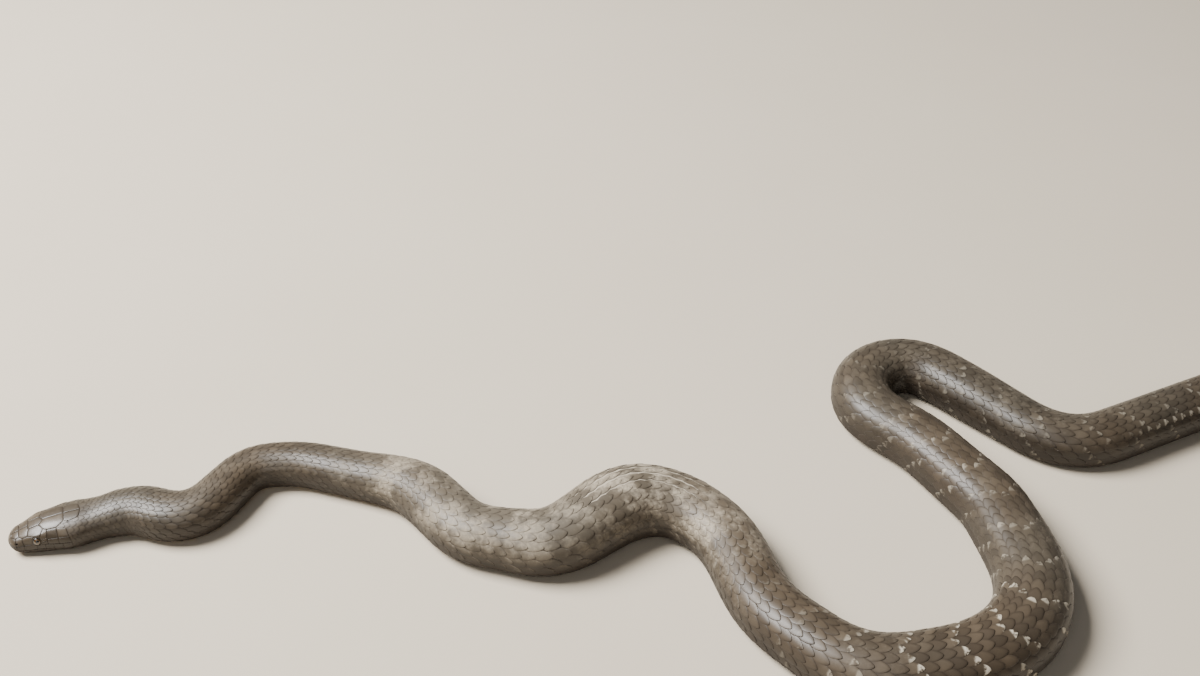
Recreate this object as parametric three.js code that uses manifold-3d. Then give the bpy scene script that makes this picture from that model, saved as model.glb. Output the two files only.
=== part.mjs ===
// King cobra, life size, lying on a flat floor in loose bends.
// Millimetres, +Z up. The belly rests on z = 0 and the head lies towards -X.
import * as THREE from 'three';
import { mergeVertices } from 'three/addons/utils/BufferGeometryUtils.js';
import Module from 'manifold-3d';

const wasm = await Module();
wasm.setup();

// The whole animal
const LENGTH = 3800;
const SNOUT_PLACE = [-1063.8, -48.2];
const SNOUT_HEADING = 18;
const SNOUT_HEIGHT = 12.5;
const SNOUT_ROUND = 11;
const NODE_GAP = 0.3;
const SMALLEST_EDGE = 0.03;

// Each bend: where its middle lies behind the snout, the length that it takes up,
// and how many degrees the body turns to the left in it
const BENDS = [
  [134, 48, -37],
  [193, 82, 82.5],
  [284, 60, -58],
  [338, 64, -22],
  [477, 85, -34],
  [573, 65, 38],
  [665, 78, 53],
  [781, 120, -71],
  [866, 124, -43],
  [987, 96, 28],
  [1104, 128, 55],
  [1287, 260, 91],
  [1460, 56, 19],
  [1579, 70, 16],
  [1676, 130, -85],
  [1769, 130, -98],
  [1992, 130, 73],
  [2300, 170, -116],
  [2480, 150, 14],
  [2700, 230, 156],
  [2880, 160, 18],
  [3090, 210, -160],
  [3250, 140, -32],
  [3400, 140, 50],
  [3550, 150, 62],
  [3710, 140, -50],
];

// Outer shape: distance behind the snout, width, height of the back, height of the underside
const GIRTH = [
  [0, 29, 20, 5],
  [10, 33, 22, 2.5],
  [20, 38, 26, 0.5],
  [32, 44, 30, 0],
  [46, 50, 33, 0],
  [62, 56, 34.5, 0],
  [72, 57, 35, 0],
  [84, 53, 35.5, 0],
  [98, 50, 37.5, 0],
  [115, 54, 41, 0],
  [150, 59, 43, 0],
  [180, 59, 43, 0],
  [230, 55, 43, 0],
  [280, 52, 42, 0],
  [400, 55, 44, 0],
  [450, 60, 48, 0],
  [500, 66, 52, 0],
  [600, 67, 54, 0],
  [640, 73, 57, 0],
  [700, 80, 63, 0],
  [760, 86, 67, 0],
  [820, 75, 60, 0],
  [860, 70, 57, 0],
  [950, 68, 55, 0],
  [1050, 71, 57, 0],
  [1150, 75, 60, 0],
  [1300, 78, 62, 0],
  [1450, 75, 60, 0],
  [1550, 72, 58, 0],
  [1850, 70, 56, 0],
  [1950, 65, 52, 0],
  [2200, 63, 51, 0],
  [2400, 62, 50, 0],
  [2700, 58, 47, 0],
  [2950, 51, 42, 0],
  [3050, 44, 36, 0],
  [3200, 36, 30, 0],
  [3500, 21, 18, 0],
  [3700, 11, 9.5, 0],
  [3800, 4, 3.5, 0],
];

// How square the head and the body are in section: above and below the widest level
const HEAD_SQUARE = [2.5, 2.6];
const BODY_SQUARE = [2.1, 2.8];
const HEAD_TO_BODY = [70, 130];
const WIDEST_LEVEL = 0.46;
const BELLY_SPREAD = 1.07;

// Where the head, neck, body lengths and tail end behind the snout, with the spacing of their belly scutes
const HEAD_END = 88;
const LENGTHS = [
  ['neck', 330, 24],
  ['body_1', 620, 32],
  ['body_2', 920, 32],
  ['body_3', 1225, 34],
  ['body_4', 1500, 34],
  ['body_5', 1725, 30],
  ['body_6', 1990, 32],
  ['body_7', 2300, 34],
  ['body_8', 2650, 34],
  ['body_9', 3000, 34],
  ['tail_1', 3300, 30],
  ['tail_2', LENGTH, 28],
];

// Belly scutes: depth of the step behind each, its length, and the share of a scute that rises to full height
const SCUTE_STEP = 1.1;
const SCUTE_EDGE = 1.6;
const SCUTE_RISE = 0.45;
const SCUTE_TOP_ANGLE = 118;
const BODY_ANGLES = [0, 28, 54, 76, 96, 118, 138, 156];

// Mouth: height of its line at some distances behind the snout tip, its corner and its groove
const MOUTH_LINE = [
  [0, 9.6],
  [10, 9],
  [22, 9.4],
  [33, 10.6],
  [46, 10],
  [58, 8.6],
  [68, 9.6],
];
const MOUTH_CORNER = 68;
const MOUTH_DEPTH = 1.1;
const LIP_HALF_HEIGHT = 0.8;

// Eye and nostril, seen from the side
const EYE = { along: 31, up: 20.5, radius: 5.2, sunk: 3.7 };
const NOSTRIL = { along: 9.2, up: 16.4, long: 1.9, high: 1.3, deep: 2.4 };

// Swellings and hollows of the head: place, height, and spread along and around it
const HEAD_RELIEF = [
  { along: 31, angle: 50, height: 1.5, long: 8, round: 10 },
  { along: 19, angle: 72, height: -1, long: 6, round: 10 },
  { along: 45, angle: 62, height: -0.6, long: 8, round: 10 },
  { along: 62, angle: 92, height: 1, long: 10, round: 18 },
];

// Rings of the head, and the shares of the way from the back to the lip and on to the throat
const HEAD_RINGS = [0.25, 1, 2.2, 4, 6.5, 9.5, 13, 17, 21, 25, 28, 31, 34, 38, 42, 47, 52, 57, 62, 66, 70, 76, 82];
const BACK_SHARES = [0, 0.2, 0.38, 0.54, 0.7, 0.86];
const THROAT_SHARES = [0.35, 0.7, 1];

// Shields of the head, left ones or whole ones. Corners on top: [along, side]
const SHIELD_RISE = 0.5;
const SHIELD_ROOT = 1.2;
const SHIELD_MARGIN = 0.07;
const FRONTAL = [[22, 0], [23, 5.5], [31, 5], [38.5, 0], [31, -5], [23, -5.5]];
const TOP_SHIELDS = {
  internasal: [[5.5, 0], [5.2, 5.5], [8, 9.5], [12, 8.5], [12.5, 0]],
  prefrontal: [[12.5, 0], [12, 8.5], [15, 12.5], [21.5, 13.5], [23, 5.5], [22, 0]],
  supraocular: [[23, 5.5], [22, 13.5], [27, 17], [35, 18], [39, 15], [38, 7.5], [31, 5]],
  parietal: [[38.5, 0], [38, 7.5], [41, 15], [50, 17], [59, 12], [61, 0]],
  occipital: [[61, 0], [59.5, 10], [66, 13], [76, 10], [78, 0]],
};

// Shields of the side, corners [along, up]
const SIDE_SHIELDS = {
  nasal_front: [[4, 13.4], [4.4, 17.5], [8.6, 20], [9.2, 13.8]],
  nasal_back: [[9.2, 13.8], [8.6, 20], [14, 21.5], [16.5, 14.8]],
  preocular: [[17, 15.6], [14.5, 21.5], [21, 24.5], [25, 22.5], [25.4, 17.2]],
  postocular_low: [[36.6, 17.4], [36.8, 20.2], [41.6, 20], [41.6, 16.8]],
  postocular_middle: [[36.8, 20.4], [36.6, 23.6], [41.6, 23.6], [41.6, 20.2]],
  postocular_high: [[36.6, 23.8], [36.2, 26.6], [41.6, 27.2], [41.6, 23.8]],
  temporal_high: [[42, 22.8], [42.2, 28], [53, 29], [53, 23.2]],
  temporal_low: [[42, 16.8], [42, 22.6], [53, 23], [54, 17.2]],
  back_temporal_high: [[53.5, 23.4], [53.5, 29], [63, 30], [64, 24]],
  back_temporal_low: [[54.5, 17.4], [53.5, 23.2], [64, 23.8], [66, 17.6]],
};

// Rostral, corners [side, up] seen from the front
const ROSTRAL = [[0, 10.8], [6, 11.2], [6.8, 14.5], [3.4, 18.4], [0, 19.8], [-3.4, 18.4], [-6.8, 14.5], [-6, 11.2]];

// Lip shields: borders along the head, with the height of their far edge at each
const UPPER_LIP = [[3.8, 12.8], [9.2, 13.4], [16.8, 14.6], [25.4, 16.6], [34.8, 16.8], [43.8, 16.2], [54, 16.8], [65, 17]];
const LOWER_LIP = [[3.8, 7.5], [8, 5.2], [13, 4], [19, 3.8], [27, 4.2], [36, 4.2], [45, 3.6], [54, 3], [63, 3]];
const LIP_MARGIN = 0.4;

const COLOURS = { back: 0x7d7262, eye: 0x1c1712 };

const radians = THREE.MathUtils.degToRad;

// Smooth value of a column of a table whose first column is the distance
function lookUp(rows, distance, column) {
  const last = rows.length - 2;
  let i = 0;
  while (i < last && distance >= rows[i + 1][0]) {
    i += 1;
  }
  const slope = (k) => (rows[k + 1][column] - rows[k][column]) / (rows[k + 1][0] - rows[k][0]);
  const tangent = (k) => {
    if (k === 0 || k === rows.length - 1) {
      return slope(Math.min(k, last));
    }
    const before = slope(k - 1);
    const after = slope(k);
    return before * after <= 0 ? 0 : 2 * before * after / (before + after);
  };
  const run = rows[i + 1][0] - rows[i][0];
  const t = THREE.MathUtils.clamp((distance - rows[i][0]) / run, 0, 1);
  const a = 2 * t ** 3 - 3 * t ** 2 + 1;
  const b = t ** 3 - 2 * t ** 2 + t;
  const c = t ** 3 - t ** 2;
  return a * rows[i][column] + b * run * tangent(i) + (1 - a) * rows[i + 1][column] + c * run * tangent(i + 1);
}

// Heading of the back, in radians, after the bends up to this distance
function headingAt(distance) {
  let degrees = SNOUT_HEADING;
  for (const [middle, over, turn] of BENDS) {
    const t = THREE.MathUtils.clamp((distance - middle) / over + 0.5, 0, 1);
    degrees += turn * t * t * (3 - 2 * t);
  }
  return radians(degrees);
}

// Middle line of the body, stepped every millimetre
const spine = [new THREE.Vector2(...SNOUT_PLACE)];
for (let distance = 0; distance < LENGTH; distance += 1) {
  const heading = headingAt(distance + 0.5);
  const next = spine[distance].clone().add(new THREE.Vector2(Math.cos(heading), Math.sin(heading)));
  spine.push(next);
}

// World place of a point that lies to the left of the middle line and above the floor
function place(distance, left, up) {
  const whole = Math.min(Math.floor(distance), LENGTH - 1);
  const middle = spine[whole].clone().lerp(spine[whole + 1], distance - whole);
  const heading = headingAt(distance);
  return new THREE.Vector3(middle.x - left * Math.sin(heading), middle.y + left * Math.cos(heading), up);
}

// Size and squareness of the section at a distance behind the snout
function sectionAt(distance) {
  const blend = THREE.MathUtils.smoothstep(distance, ...HEAD_TO_BODY);
  const back = Math.max(0, 1 - distance / SNOUT_ROUND);
  const round = Math.sqrt(1 - back * back);
  const top = lookUp(GIRTH, distance, 2);
  const bottom = lookUp(GIRTH, distance, 3);
  const widest = bottom + WIDEST_LEVEL * (top - bottom);
  const toSnout = (level) => SNOUT_HEIGHT + (level - SNOUT_HEIGHT) * round;
  return {
    half: lookUp(GIRTH, distance, 1) / 2 * round,
    top: toSnout(top),
    bottom: toSnout(bottom),
    widest: toSnout(widest),
    squareUp: THREE.MathUtils.lerp(HEAD_SQUARE[0], BODY_SQUARE[0], blend),
    squareDown: THREE.MathUtils.lerp(HEAD_SQUARE[1], BODY_SQUARE[1], blend),
  };
}

// Point of a section: the angle runs from 0 on the back to 180 under the belly
function onSection(section, angle) {
  const c = Math.cos(radians(angle));
  const s = Math.abs(Math.sin(radians(angle)));
  if (c >= 0) {
    return [
      section.half * s ** (2 / section.squareUp),
      section.widest + (section.top - section.widest) * c ** (2 / section.squareUp),
    ];
  }
  const reach = (section.widest - section.bottom) * BELLY_SPREAD * (-c) ** (2 / section.squareDown);
  return [
    section.half * s ** (2 / section.squareDown),
    Math.max(section.bottom, section.widest - reach),
  ];
}

// Closed body through rings of points with the same count, each end closed by a fan
function loft(rings, tips = []) {
  const positions = [];
  const index = [];
  const count = rings[0].length;
  for (const ring of rings) {
    for (const p of ring) {
      positions.push(p.x, p.y, p.z);
    }
  }
  for (let r = 0; r + 1 < rings.length; r += 1) {
    for (let k = 0; k < count; k += 1) {
      const a = r * count + k;
      const b = r * count + (k + 1) % count;
      index.push(a, a + count, b);
      index.push(b, a + count, b + count);
    }
  }
  for (const [r, flip, tip] of [[0, false, tips[0]], [rings.length - 1, true, tips[1]]]) {
    const middle = tip ?? rings[r].reduce((sum, p) => sum.add(p), new THREE.Vector3()).divideScalar(count);
    const centre = positions.length / 3;
    positions.push(middle.x, middle.y, middle.z);
    for (let k = 0; k < count; k += 1) {
      const a = r * count + k;
      const b = r * count + (k + 1) % count;
      index.push(...(flip ? [centre, b, a] : [centre, a, b]));
    }
  }
  const geometry = new THREE.BufferGeometry();
  geometry.setAttribute('position', new THREE.Float32BufferAttribute(positions, 3));
  geometry.setIndex(index);
  return geometry;
}

// Ring of a body length, its belly part lifted by the step between two scutes
function bodyRing(distance, step) {
  const section = sectionAt(distance);
  const left = BODY_ANGLES.map((angle) => {
    const [side, up] = onSection(section, angle);
    const share = angle >= SCUTE_TOP_ANGLE ? Math.min(1, section.half / 20) : 0;
    const depth = step * share;
    const flat = THREE.MathUtils.clamp((angle - SCUTE_TOP_ANGLE) / 30, 0, 1);
    return [Math.max(side - depth * (1 - flat), 0), up + depth * flat];
  });
  const right = left.slice(1).reverse().map(([side, up]) => [-side, up]);
  return [...left, ...right].map(([side, up]) => place(distance, side, up));
}

function bodyLength(from, to, spacing) {
  const scutes = Math.round((to - from) / spacing);
  const pitch = (to - from) / scutes;
  const rings = [];
  for (let n = 0; n < scutes; n += 1) {
    const start = from + n * pitch;
    rings.push(bodyRing(start, SCUTE_STEP));
    rings.push(bodyRing(start + SCUTE_RISE * pitch, 0));
    rings.push(bodyRing(start + pitch - SCUTE_EDGE, 0));
  }
  rings.push(bodyRing(to, SCUTE_STEP));
  return loft(rings);
}


// Where a plain view meets the head: from above, from the side and from the front
function fromAbove(along, side) {
  const section = sectionAt(along);
  const s = Math.min(1, Math.abs(side) / section.half) ** (section.squareUp / 2);
  return { along, angle: Math.sign(side) * THREE.MathUtils.radToDeg(Math.asin(s)) };
}

function fromSide(along, up) {
  const section = sectionAt(along);
  const above = up >= section.widest;
  const reach = above ? section.top - section.widest : (section.widest - section.bottom) * BELLY_SPREAD;
  const square = above ? section.squareUp : section.squareDown;
  const c = Math.min(1, Math.abs(up - section.widest) / reach) ** (square / 2);
  return { along, angle: THREE.MathUtils.radToDeg(Math.acos(above ? c : -c)) };
}

function fromFront(side, up) {
  let near = 0.05;
  let far = SNOUT_ROUND;
  for (let n = 0; n < 24; n += 1) {
    const along = (near + far) / 2;
    const section = sectionAt(along);
    const [reach] = onSection(section, fromSide(along, up).angle);
    const inside = up < section.top && up > section.bottom && Math.abs(side) < reach;
    near = inside ? near : along;
    far = inside ? along : far;
  }
  const { along, angle } = fromSide(far, up);
  return { along, angle: Math.abs(side) < 0.1 ? (angle < 90 ? 0 : 180) : Math.sign(side) * angle };
}

// Point of the head's surface with its swellings, moved out by the given height
function onHead({ along, angle }, out) {
  const round = Math.abs(angle);
  const hand = angle < 0 ? -1 : 1;
  const section = sectionAt(along);
  const [side, up] = onSection(section, round);
  const step = 1;
  const [sideAhead, upAhead] = onSection(section, Math.min(round + step, 180));
  const [sideBehind, upBehind] = onSection(section, Math.max(round - step, 0));
  const normal = new THREE.Vector2(upBehind - upAhead, sideAhead - sideBehind).normalize();
  let rise = out;
  for (const bump of HEAD_RELIEF) {
    const far = ((along - bump.along) / bump.long) ** 2 + ((round - bump.angle) / bump.round) ** 2;
    rise += bump.height * Math.exp(-far);
  }
  return place(along, hand * (side + normal.x * rise), up + normal.y * rise);
}

// Ring of the head: back, cheek, upper lip, groove of the mouth, lower lip, throat
function headRing(along) {
  const mouth = lookUp(MOUTH_LINE, Math.min(along, MOUTH_CORNER), 1);
  const open = THREE.MathUtils.smoothstep(along, 0, 3) * (1 - THREE.MathUtils.smoothstep(along, 62, MOUTH_CORNER));
  const lip = fromSide(along, mouth + LIP_HALF_HEIGHT).angle;
  const groove = fromSide(along, mouth).angle;
  const under = fromSide(along, mouth - LIP_HALF_HEIGHT).angle;
  const rows = BACK_SHARES.map((share) => [share * lip, 0]);
  rows.push([lip, 0], [groove, -MOUTH_DEPTH * open], [under, 0]);
  rows.push(...THROAT_SHARES.map((share) => [under + share * (180 - under), 0]));
  const left = rows.map(([angle, out]) => onHead({ along, angle }, out));
  const right = rows.slice(1, -1).reverse().map(([angle, out]) => onHead({ along, angle: -angle }, out));
  return [...left, ...right];
}

// Raised shield: its corners in a plain view, drawn in a little, with the root sunk
function shield(corners, view, hand = 1) {
  const middle = [0, 1].map((axis) => corners.reduce((sum, c) => sum + c[axis], 0) / corners.length);
  const spots = corners.map((corner) => {
    const [a, b] = [0, 1].map((axis) => THREE.MathUtils.lerp(corner[axis], middle[axis], SHIELD_MARGIN));
    const { along, angle } = view(a, b);
    return { along, angle: hand * angle };
  });
  const { along, angle } = view(...middle);
  const centre = { along, angle: hand * angle };
  const root = spots.map((spot) => onHead(spot, -SHIELD_ROOT));
  const rim = spots.map((spot) => onHead(spot, SHIELD_RISE));
  return loft([root, rim], [onHead(centre, -SHIELD_ROOT), onHead(centre, SHIELD_RISE)]);
}

// Lip shields of one side between their borders, kept off the line of the mouth
function lipShields(borders, upper) {
  const off = (upper ? 1 : -1) * (LIP_HALF_HEIGHT + LIP_MARGIN);
  const mouthAt = (along) => lookUp(MOUTH_LINE, along, 1) + off;
  return borders.slice(1).map(([along, up], n) => {
    const [before, upBefore] = borders[n];
    return [[before, mouthAt(before)], [before, upBefore], [along, up], [along, mouthAt(along)]];
  });
}

// Solids for cutting and joining: outward faces, shared vertices
function toSolid(geometry) {
  const bare = geometry.clone();
  bare.deleteAttribute('normal');
  bare.deleteAttribute('uv');
  const merged = mergeVertices(bare, 1e-4);
  const vertProperties = new Float32Array(merged.attributes.position.array);
  const triVerts = new Uint32Array(merged.index.array);
  const solid = new wasm.Manifold(new wasm.Mesh({ numProp: 3, vertProperties, triVerts }));
  if (solid.volume() > 0) {
    return solid;
  }
  const turned = triVerts.map((_, n) => triVerts[n - n % 3 + [0, 2, 1][n % 3]]);
  return new wasm.Manifold(new wasm.Mesh({ numProp: 3, vertProperties, triVerts: turned }));
}

function toGeometry(solid) {
  const clean = solid.simplify(SMALLEST_EDGE);
  const largest = clean.decompose().reduce((best, piece) => (piece.volume() > best.volume() ? piece : best));
  const mesh = largest.getMesh();
  const geometry = new THREE.BufferGeometry();
  geometry.setAttribute('position', new THREE.Float32BufferAttribute(mesh.vertProperties, 3));
  geometry.setIndex(Array.from(mesh.triVerts));
  return geometry;
}

function ball(centre, radius, detail) {
  return new THREE.IcosahedronGeometry(radius, detail).translate(...centre.toArray());
}

function eyeCentre(hand) {
  const { along, angle } = fromSide(EYE.along, EYE.up);
  return onHead({ along, angle: hand * angle }, -EYE.sunk);
}

function nostrilCut(hand) {
  const { along, angle } = fromSide(NOSTRIL.along, NOSTRIL.up);
  const mouth = onHead({ along, angle: hand * angle }, 0.3);
  const bottom = onHead({ along, angle: hand * angle }, -NOSTRIL.deep);
  const cut = new THREE.IcosahedronGeometry(1, 1).scale(NOSTRIL.long, NOSTRIL.deep, NOSTRIL.high);
  const inwards = new THREE.Quaternion().setFromUnitVectors(
    new THREE.Vector3(0, 1, 0),
    bottom.clone().sub(mouth).normalize(),
  );
  return cut.applyQuaternion(inwards).translate(...mouth.toArray());
}

function makeHead() {
  const rings = [...HEAD_RINGS, HEAD_END].map(headRing);
  let solid = toSolid(loft(rings));
  const plates = [shield(FRONTAL, fromAbove), shield(ROSTRAL, fromFront)];
  const sides = [
    ...Object.values(SIDE_SHIELDS),
    ...lipShields(UPPER_LIP, true),
    ...lipShields(LOWER_LIP, false),
  ];
  for (const hand of [1, -1]) {
    plates.push(...Object.values(TOP_SHIELDS).map((corners) => shield(corners, fromAbove, hand)));
    plates.push(...sides.map((corners) => shield(corners, fromSide, hand)));
  }
  for (const plate of plates) {
    solid = solid.add(toSolid(plate));
  }
  for (const hand of [1, -1]) {
    solid = solid.subtract(toSolid(ball(eyeCentre(hand), EYE.radius + NODE_GAP, 2)));
    solid = solid.subtract(toSolid(nostrilCut(hand)));
  }
  return toGeometry(solid);
}

// The snake: head, eyes, then the lengths of the body
function piece(name, geometry, color, roughness) {
  const mesh = new THREE.Mesh(geometry, new THREE.MeshStandardMaterial({ color, roughness, metalness: 0 }));
  mesh.name = name;
  return mesh;
}

const snake = new THREE.Group();
snake.add(piece('head', makeHead(), COLOURS.back, 0.4));
snake.add(piece('eye_left', ball(eyeCentre(1), EYE.radius, 2), COLOURS.eye, 0.1));
snake.add(piece('eye_right', ball(eyeCentre(-1), EYE.radius, 2), COLOURS.eye, 0.1));
let from = HEAD_END + NODE_GAP;
for (const [name, to, spacing] of LENGTHS) {
  snake.add(piece(name, bodyLength(from, to, spacing), COLOURS.back, 0.4));
  from = to + NODE_GAP;
}

export default snake;
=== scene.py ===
import math

import bpy
import numpy as np
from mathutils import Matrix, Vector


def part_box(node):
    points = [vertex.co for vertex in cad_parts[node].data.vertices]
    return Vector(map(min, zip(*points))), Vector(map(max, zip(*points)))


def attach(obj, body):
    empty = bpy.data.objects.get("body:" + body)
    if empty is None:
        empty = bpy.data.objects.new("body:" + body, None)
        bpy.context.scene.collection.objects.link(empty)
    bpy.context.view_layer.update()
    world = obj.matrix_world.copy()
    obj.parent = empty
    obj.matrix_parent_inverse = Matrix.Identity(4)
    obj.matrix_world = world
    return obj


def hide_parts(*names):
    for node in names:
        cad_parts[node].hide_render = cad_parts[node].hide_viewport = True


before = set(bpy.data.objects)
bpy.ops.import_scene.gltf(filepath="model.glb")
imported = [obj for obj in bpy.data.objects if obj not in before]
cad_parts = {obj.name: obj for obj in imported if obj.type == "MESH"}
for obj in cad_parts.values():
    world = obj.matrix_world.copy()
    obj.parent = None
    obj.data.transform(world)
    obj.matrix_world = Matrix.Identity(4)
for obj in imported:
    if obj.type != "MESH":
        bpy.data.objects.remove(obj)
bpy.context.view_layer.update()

# A king cobra, life size. Its sizes are given in millimetres, and MM turns them into metres.
MM = 0.001

# Camera: an ordinary one, held level from side to side at about the height of a standing person's waist.
# It looks down at the snake from a step away, with the head at the left of its picture.
CAMERA_PLACE = (-0.4338, -1.0672, 1.05)
CAMERA_TILT_DOWN = 37
CAMERA_LENS = 40.5
SENSOR_WIDTH = 36
NEAREST_SEEN = 0.05

camera = bpy.data.objects.new("camera", bpy.data.cameras.new("camera"))
camera.location = CAMERA_PLACE
camera.rotation_euler = (math.radians(90 - CAMERA_TILT_DOWN), 0, 0)
camera.data.lens = CAMERA_LENS
camera.data.sensor_width = SENSOR_WIDTH
camera.data.clip_start = NEAREST_SEEN
bpy.context.scene.collection.objects.link(camera)
bpy.context.scene.camera = camera

# Skin: the soft hide under the scales, whole from the snout to the tail tip.
# It lies a scale's depth inside the outer form, and shows as thin lines between the scales.
LENGTH = 3800
SNOUT_PLACE = (-1063.8, -48.2)
SNOUT_HEADING = 18
SNOUT_HEIGHT = 12.5
SNOUT_ROUND = 11

# Each bend: where its middle lies behind the snout, the length that it takes up,
# and how many degrees the body turns to the left in it
BENDS = (
    (134, 48, -37), (193, 82, 82.5), (284, 60, -58), (338, 64, -22), (477, 85, -34), (573, 65, 38),
    (665, 78, 53), (781, 120, -71), (866, 124, -43), (987, 96, 28), (1104, 128, 55), (1287, 260, 91),
    (1460, 56, 19), (1579, 70, 16), (1676, 130, -85), (1769, 130, -98), (1992, 130, 73),
    (2300, 170, -116), (2480, 150, 14), (2700, 230, 156), (2880, 160, 18), (3090, 210, -160),
    (3250, 140, -32), (3400, 140, 50), (3550, 150, 62), (3710, 140, -50),
)

# Outer form: distance behind the snout, width, height of the back, height of the underside
GIRTH = (
    (0, 29, 20, 5), (10, 33, 22, 2.5), (20, 38, 26, 0.5), (32, 44, 30, 0), (46, 50, 33, 0),
    (62, 56, 34.5, 0), (72, 57, 35, 0), (84, 53, 35.5, 0), (98, 50, 37.5, 0), (115, 54, 41, 0),
    (150, 59, 43, 0), (180, 59, 43, 0), (230, 55, 43, 0), (280, 52, 42, 0), (400, 55, 44, 0),
    (450, 60, 48, 0), (500, 66, 52, 0), (600, 67, 54, 0), (640, 73, 57, 0), (700, 80, 63, 0),
    (760, 86, 67, 0), (820, 75, 60, 0), (860, 70, 57, 0), (950, 68, 55, 0), (1050, 71, 57, 0),
    (1150, 75, 60, 0), (1300, 78, 62, 0), (1450, 75, 60, 0), (1550, 72, 58, 0), (1850, 70, 56, 0),
    (1950, 65, 52, 0), (2200, 63, 51, 0), (2400, 62, 50, 0), (2700, 58, 47, 0), (2950, 51, 42, 0),
    (3050, 44, 36, 0), (3200, 36, 30, 0), (3500, 21, 18, 0), (3700, 11, 9.5, 0), (3800, 4, 3.5, 0),
)

# How square the head and the body are in section, above and below the widest level
HEAD_SQUARE = (2.5, 2.6)
BODY_SQUARE = (2.1, 2.8)
HEAD_TO_BODY = (70, 130)
WIDEST_LEVEL = 0.46
BELLY_SPREAD = 1.07

# Swellings and hollows of the head: place along, angle round from the back, height, spreads
HEAD_SWELLINGS = ((31, 50, 1.5, 8, 10), (19, 72, -1, 6, 10), (45, 62, -0.6, 8, 10), (62, 92, 1, 10, 18))
SWELLINGS_END = 130

# Lengths that are divided by are never less than this
LEAST_SIZE = 1e-9


def smooth_step(value, start, end):
    t = np.clip((value - start) / (end - start), 0, 1)
    return t * t * (3 - 2 * t)


def look_up(rows, distance, column=1):
    """Smooth value of a table's column, with no overshoot between its rows."""
    table = np.array(rows, float)
    x, y = table[:, 0], table[:, column]
    slope = np.diff(y) / np.diff(x)
    product = slope[:-1] * slope[1:]
    inner = np.where(product > 0, 2 * product / np.where(product > 0, slope[:-1] + slope[1:], 1), 0)
    tangent = np.concatenate([slope[:1], inner, slope[-1:]])
    i = np.clip(np.searchsorted(x, distance, side="right") - 1, 0, len(x) - 2)
    run = x[i + 1] - x[i]
    t = np.clip((distance - x[i]) / run, 0, 1)
    a = 2 * t**3 - 3 * t**2 + 1
    left = a * y[i] + (t**3 - 2 * t**2 + t) * run * tangent[i]
    return left + (1 - a) * y[i + 1] + (t**3 - t**2) * run * tangent[i + 1]


def heading(distance):
    """Heading of the back, in radians, after the bends up to this distance."""
    turned = [turn * smooth_step(distance, at - over / 2, at + over / 2) for at, over, turn in BENDS]
    return np.radians(SNOUT_HEADING + sum(turned))


spine_steps = heading(np.arange(LENGTH) + 0.5)
spine_x = SNOUT_PLACE[0] + np.concatenate([[0], np.cumsum(np.cos(spine_steps))])
spine_y = SNOUT_PLACE[1] + np.concatenate([[0], np.cumsum(np.sin(spine_steps))])


def place(distance, left, up):
    """Point to the left of the middle line and above the floor."""
    along = np.arange(LENGTH + 1)
    turn = heading(distance)
    x = np.interp(distance, along, spine_x) - left * np.sin(turn)
    y = np.interp(distance, along, spine_y) + left * np.cos(turn)
    return np.stack([x, y, np.broadcast_to(up, x.shape)], -1)


def section(distance):
    """Half width, top, bottom, widest level and squareness above and below it."""
    body = smooth_step(distance, *HEAD_TO_BODY)
    rounding = np.sqrt(1 - np.maximum(0, 1 - distance / SNOUT_ROUND) ** 2)
    top, bottom = look_up(GIRTH, distance, 2), look_up(GIRTH, distance, 3)
    widest = bottom + WIDEST_LEVEL * (top - bottom)
    levels = [SNOUT_HEIGHT + (level - SNOUT_HEIGHT) * rounding for level in (top, bottom, widest)]
    squares = [head + (rear - head) * body for head, rear in zip(HEAD_SQUARE, BODY_SQUARE)]
    return (look_up(GIRTH, distance) / 2 * rounding, *levels, *squares)


def on_section(distance, angle):
    """Side and height at an angle: 0 on the back, 180 under the belly, above 0 on the left."""
    half, top, bottom, widest, square_above, square_below = section(distance)
    c = np.cos(np.radians(angle))
    square = np.where(c >= 0, square_above, square_below)
    side = half * np.abs(np.sin(np.radians(angle))) ** (2 / square)
    reach = np.where(c >= 0, top - widest, (bottom - widest) * BELLY_SPREAD)
    up = widest + reach * np.abs(c) ** (2 / square)
    return np.sign(angle) * side, np.where(c >= 0, up, np.maximum(bottom, up))


def outer_form(distance, angle):
    """Point of the outer form, with the swellings of the head."""
    angle = np.mod(angle + 180, 360) - 180
    side, up = on_section(distance, angle)
    if np.min(distance) < SWELLINGS_END:
        hand = np.where(angle < 0, -1, 1)
        side_on, up_on = on_section(distance, hand * np.minimum(np.abs(angle) + 1, 180))
        side_back, up_back = on_section(distance, hand * np.maximum(np.abs(angle) - 1, 0))
        across, rise = hand * (up_back - up_on), hand * (side_on - side_back)
        size = np.maximum(np.hypot(across, rise), LEAST_SIZE)
        lift = 0
        for at, turn, height, long, wide in HEAD_SWELLINGS:
            far = ((distance - at) / long) ** 2 + ((np.abs(angle) - turn) / wide) ** 2
            lift = lift + height * np.exp(-far)
        side = side + across / size * lift
        up = up + rise / size * lift
    return place(distance, side, up)


# Steps along and round, in millimetres and degrees, between which the slope of the form is taken
SLOPE_STEP = 0.25
SLOPE_TURN = 0.5


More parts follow.
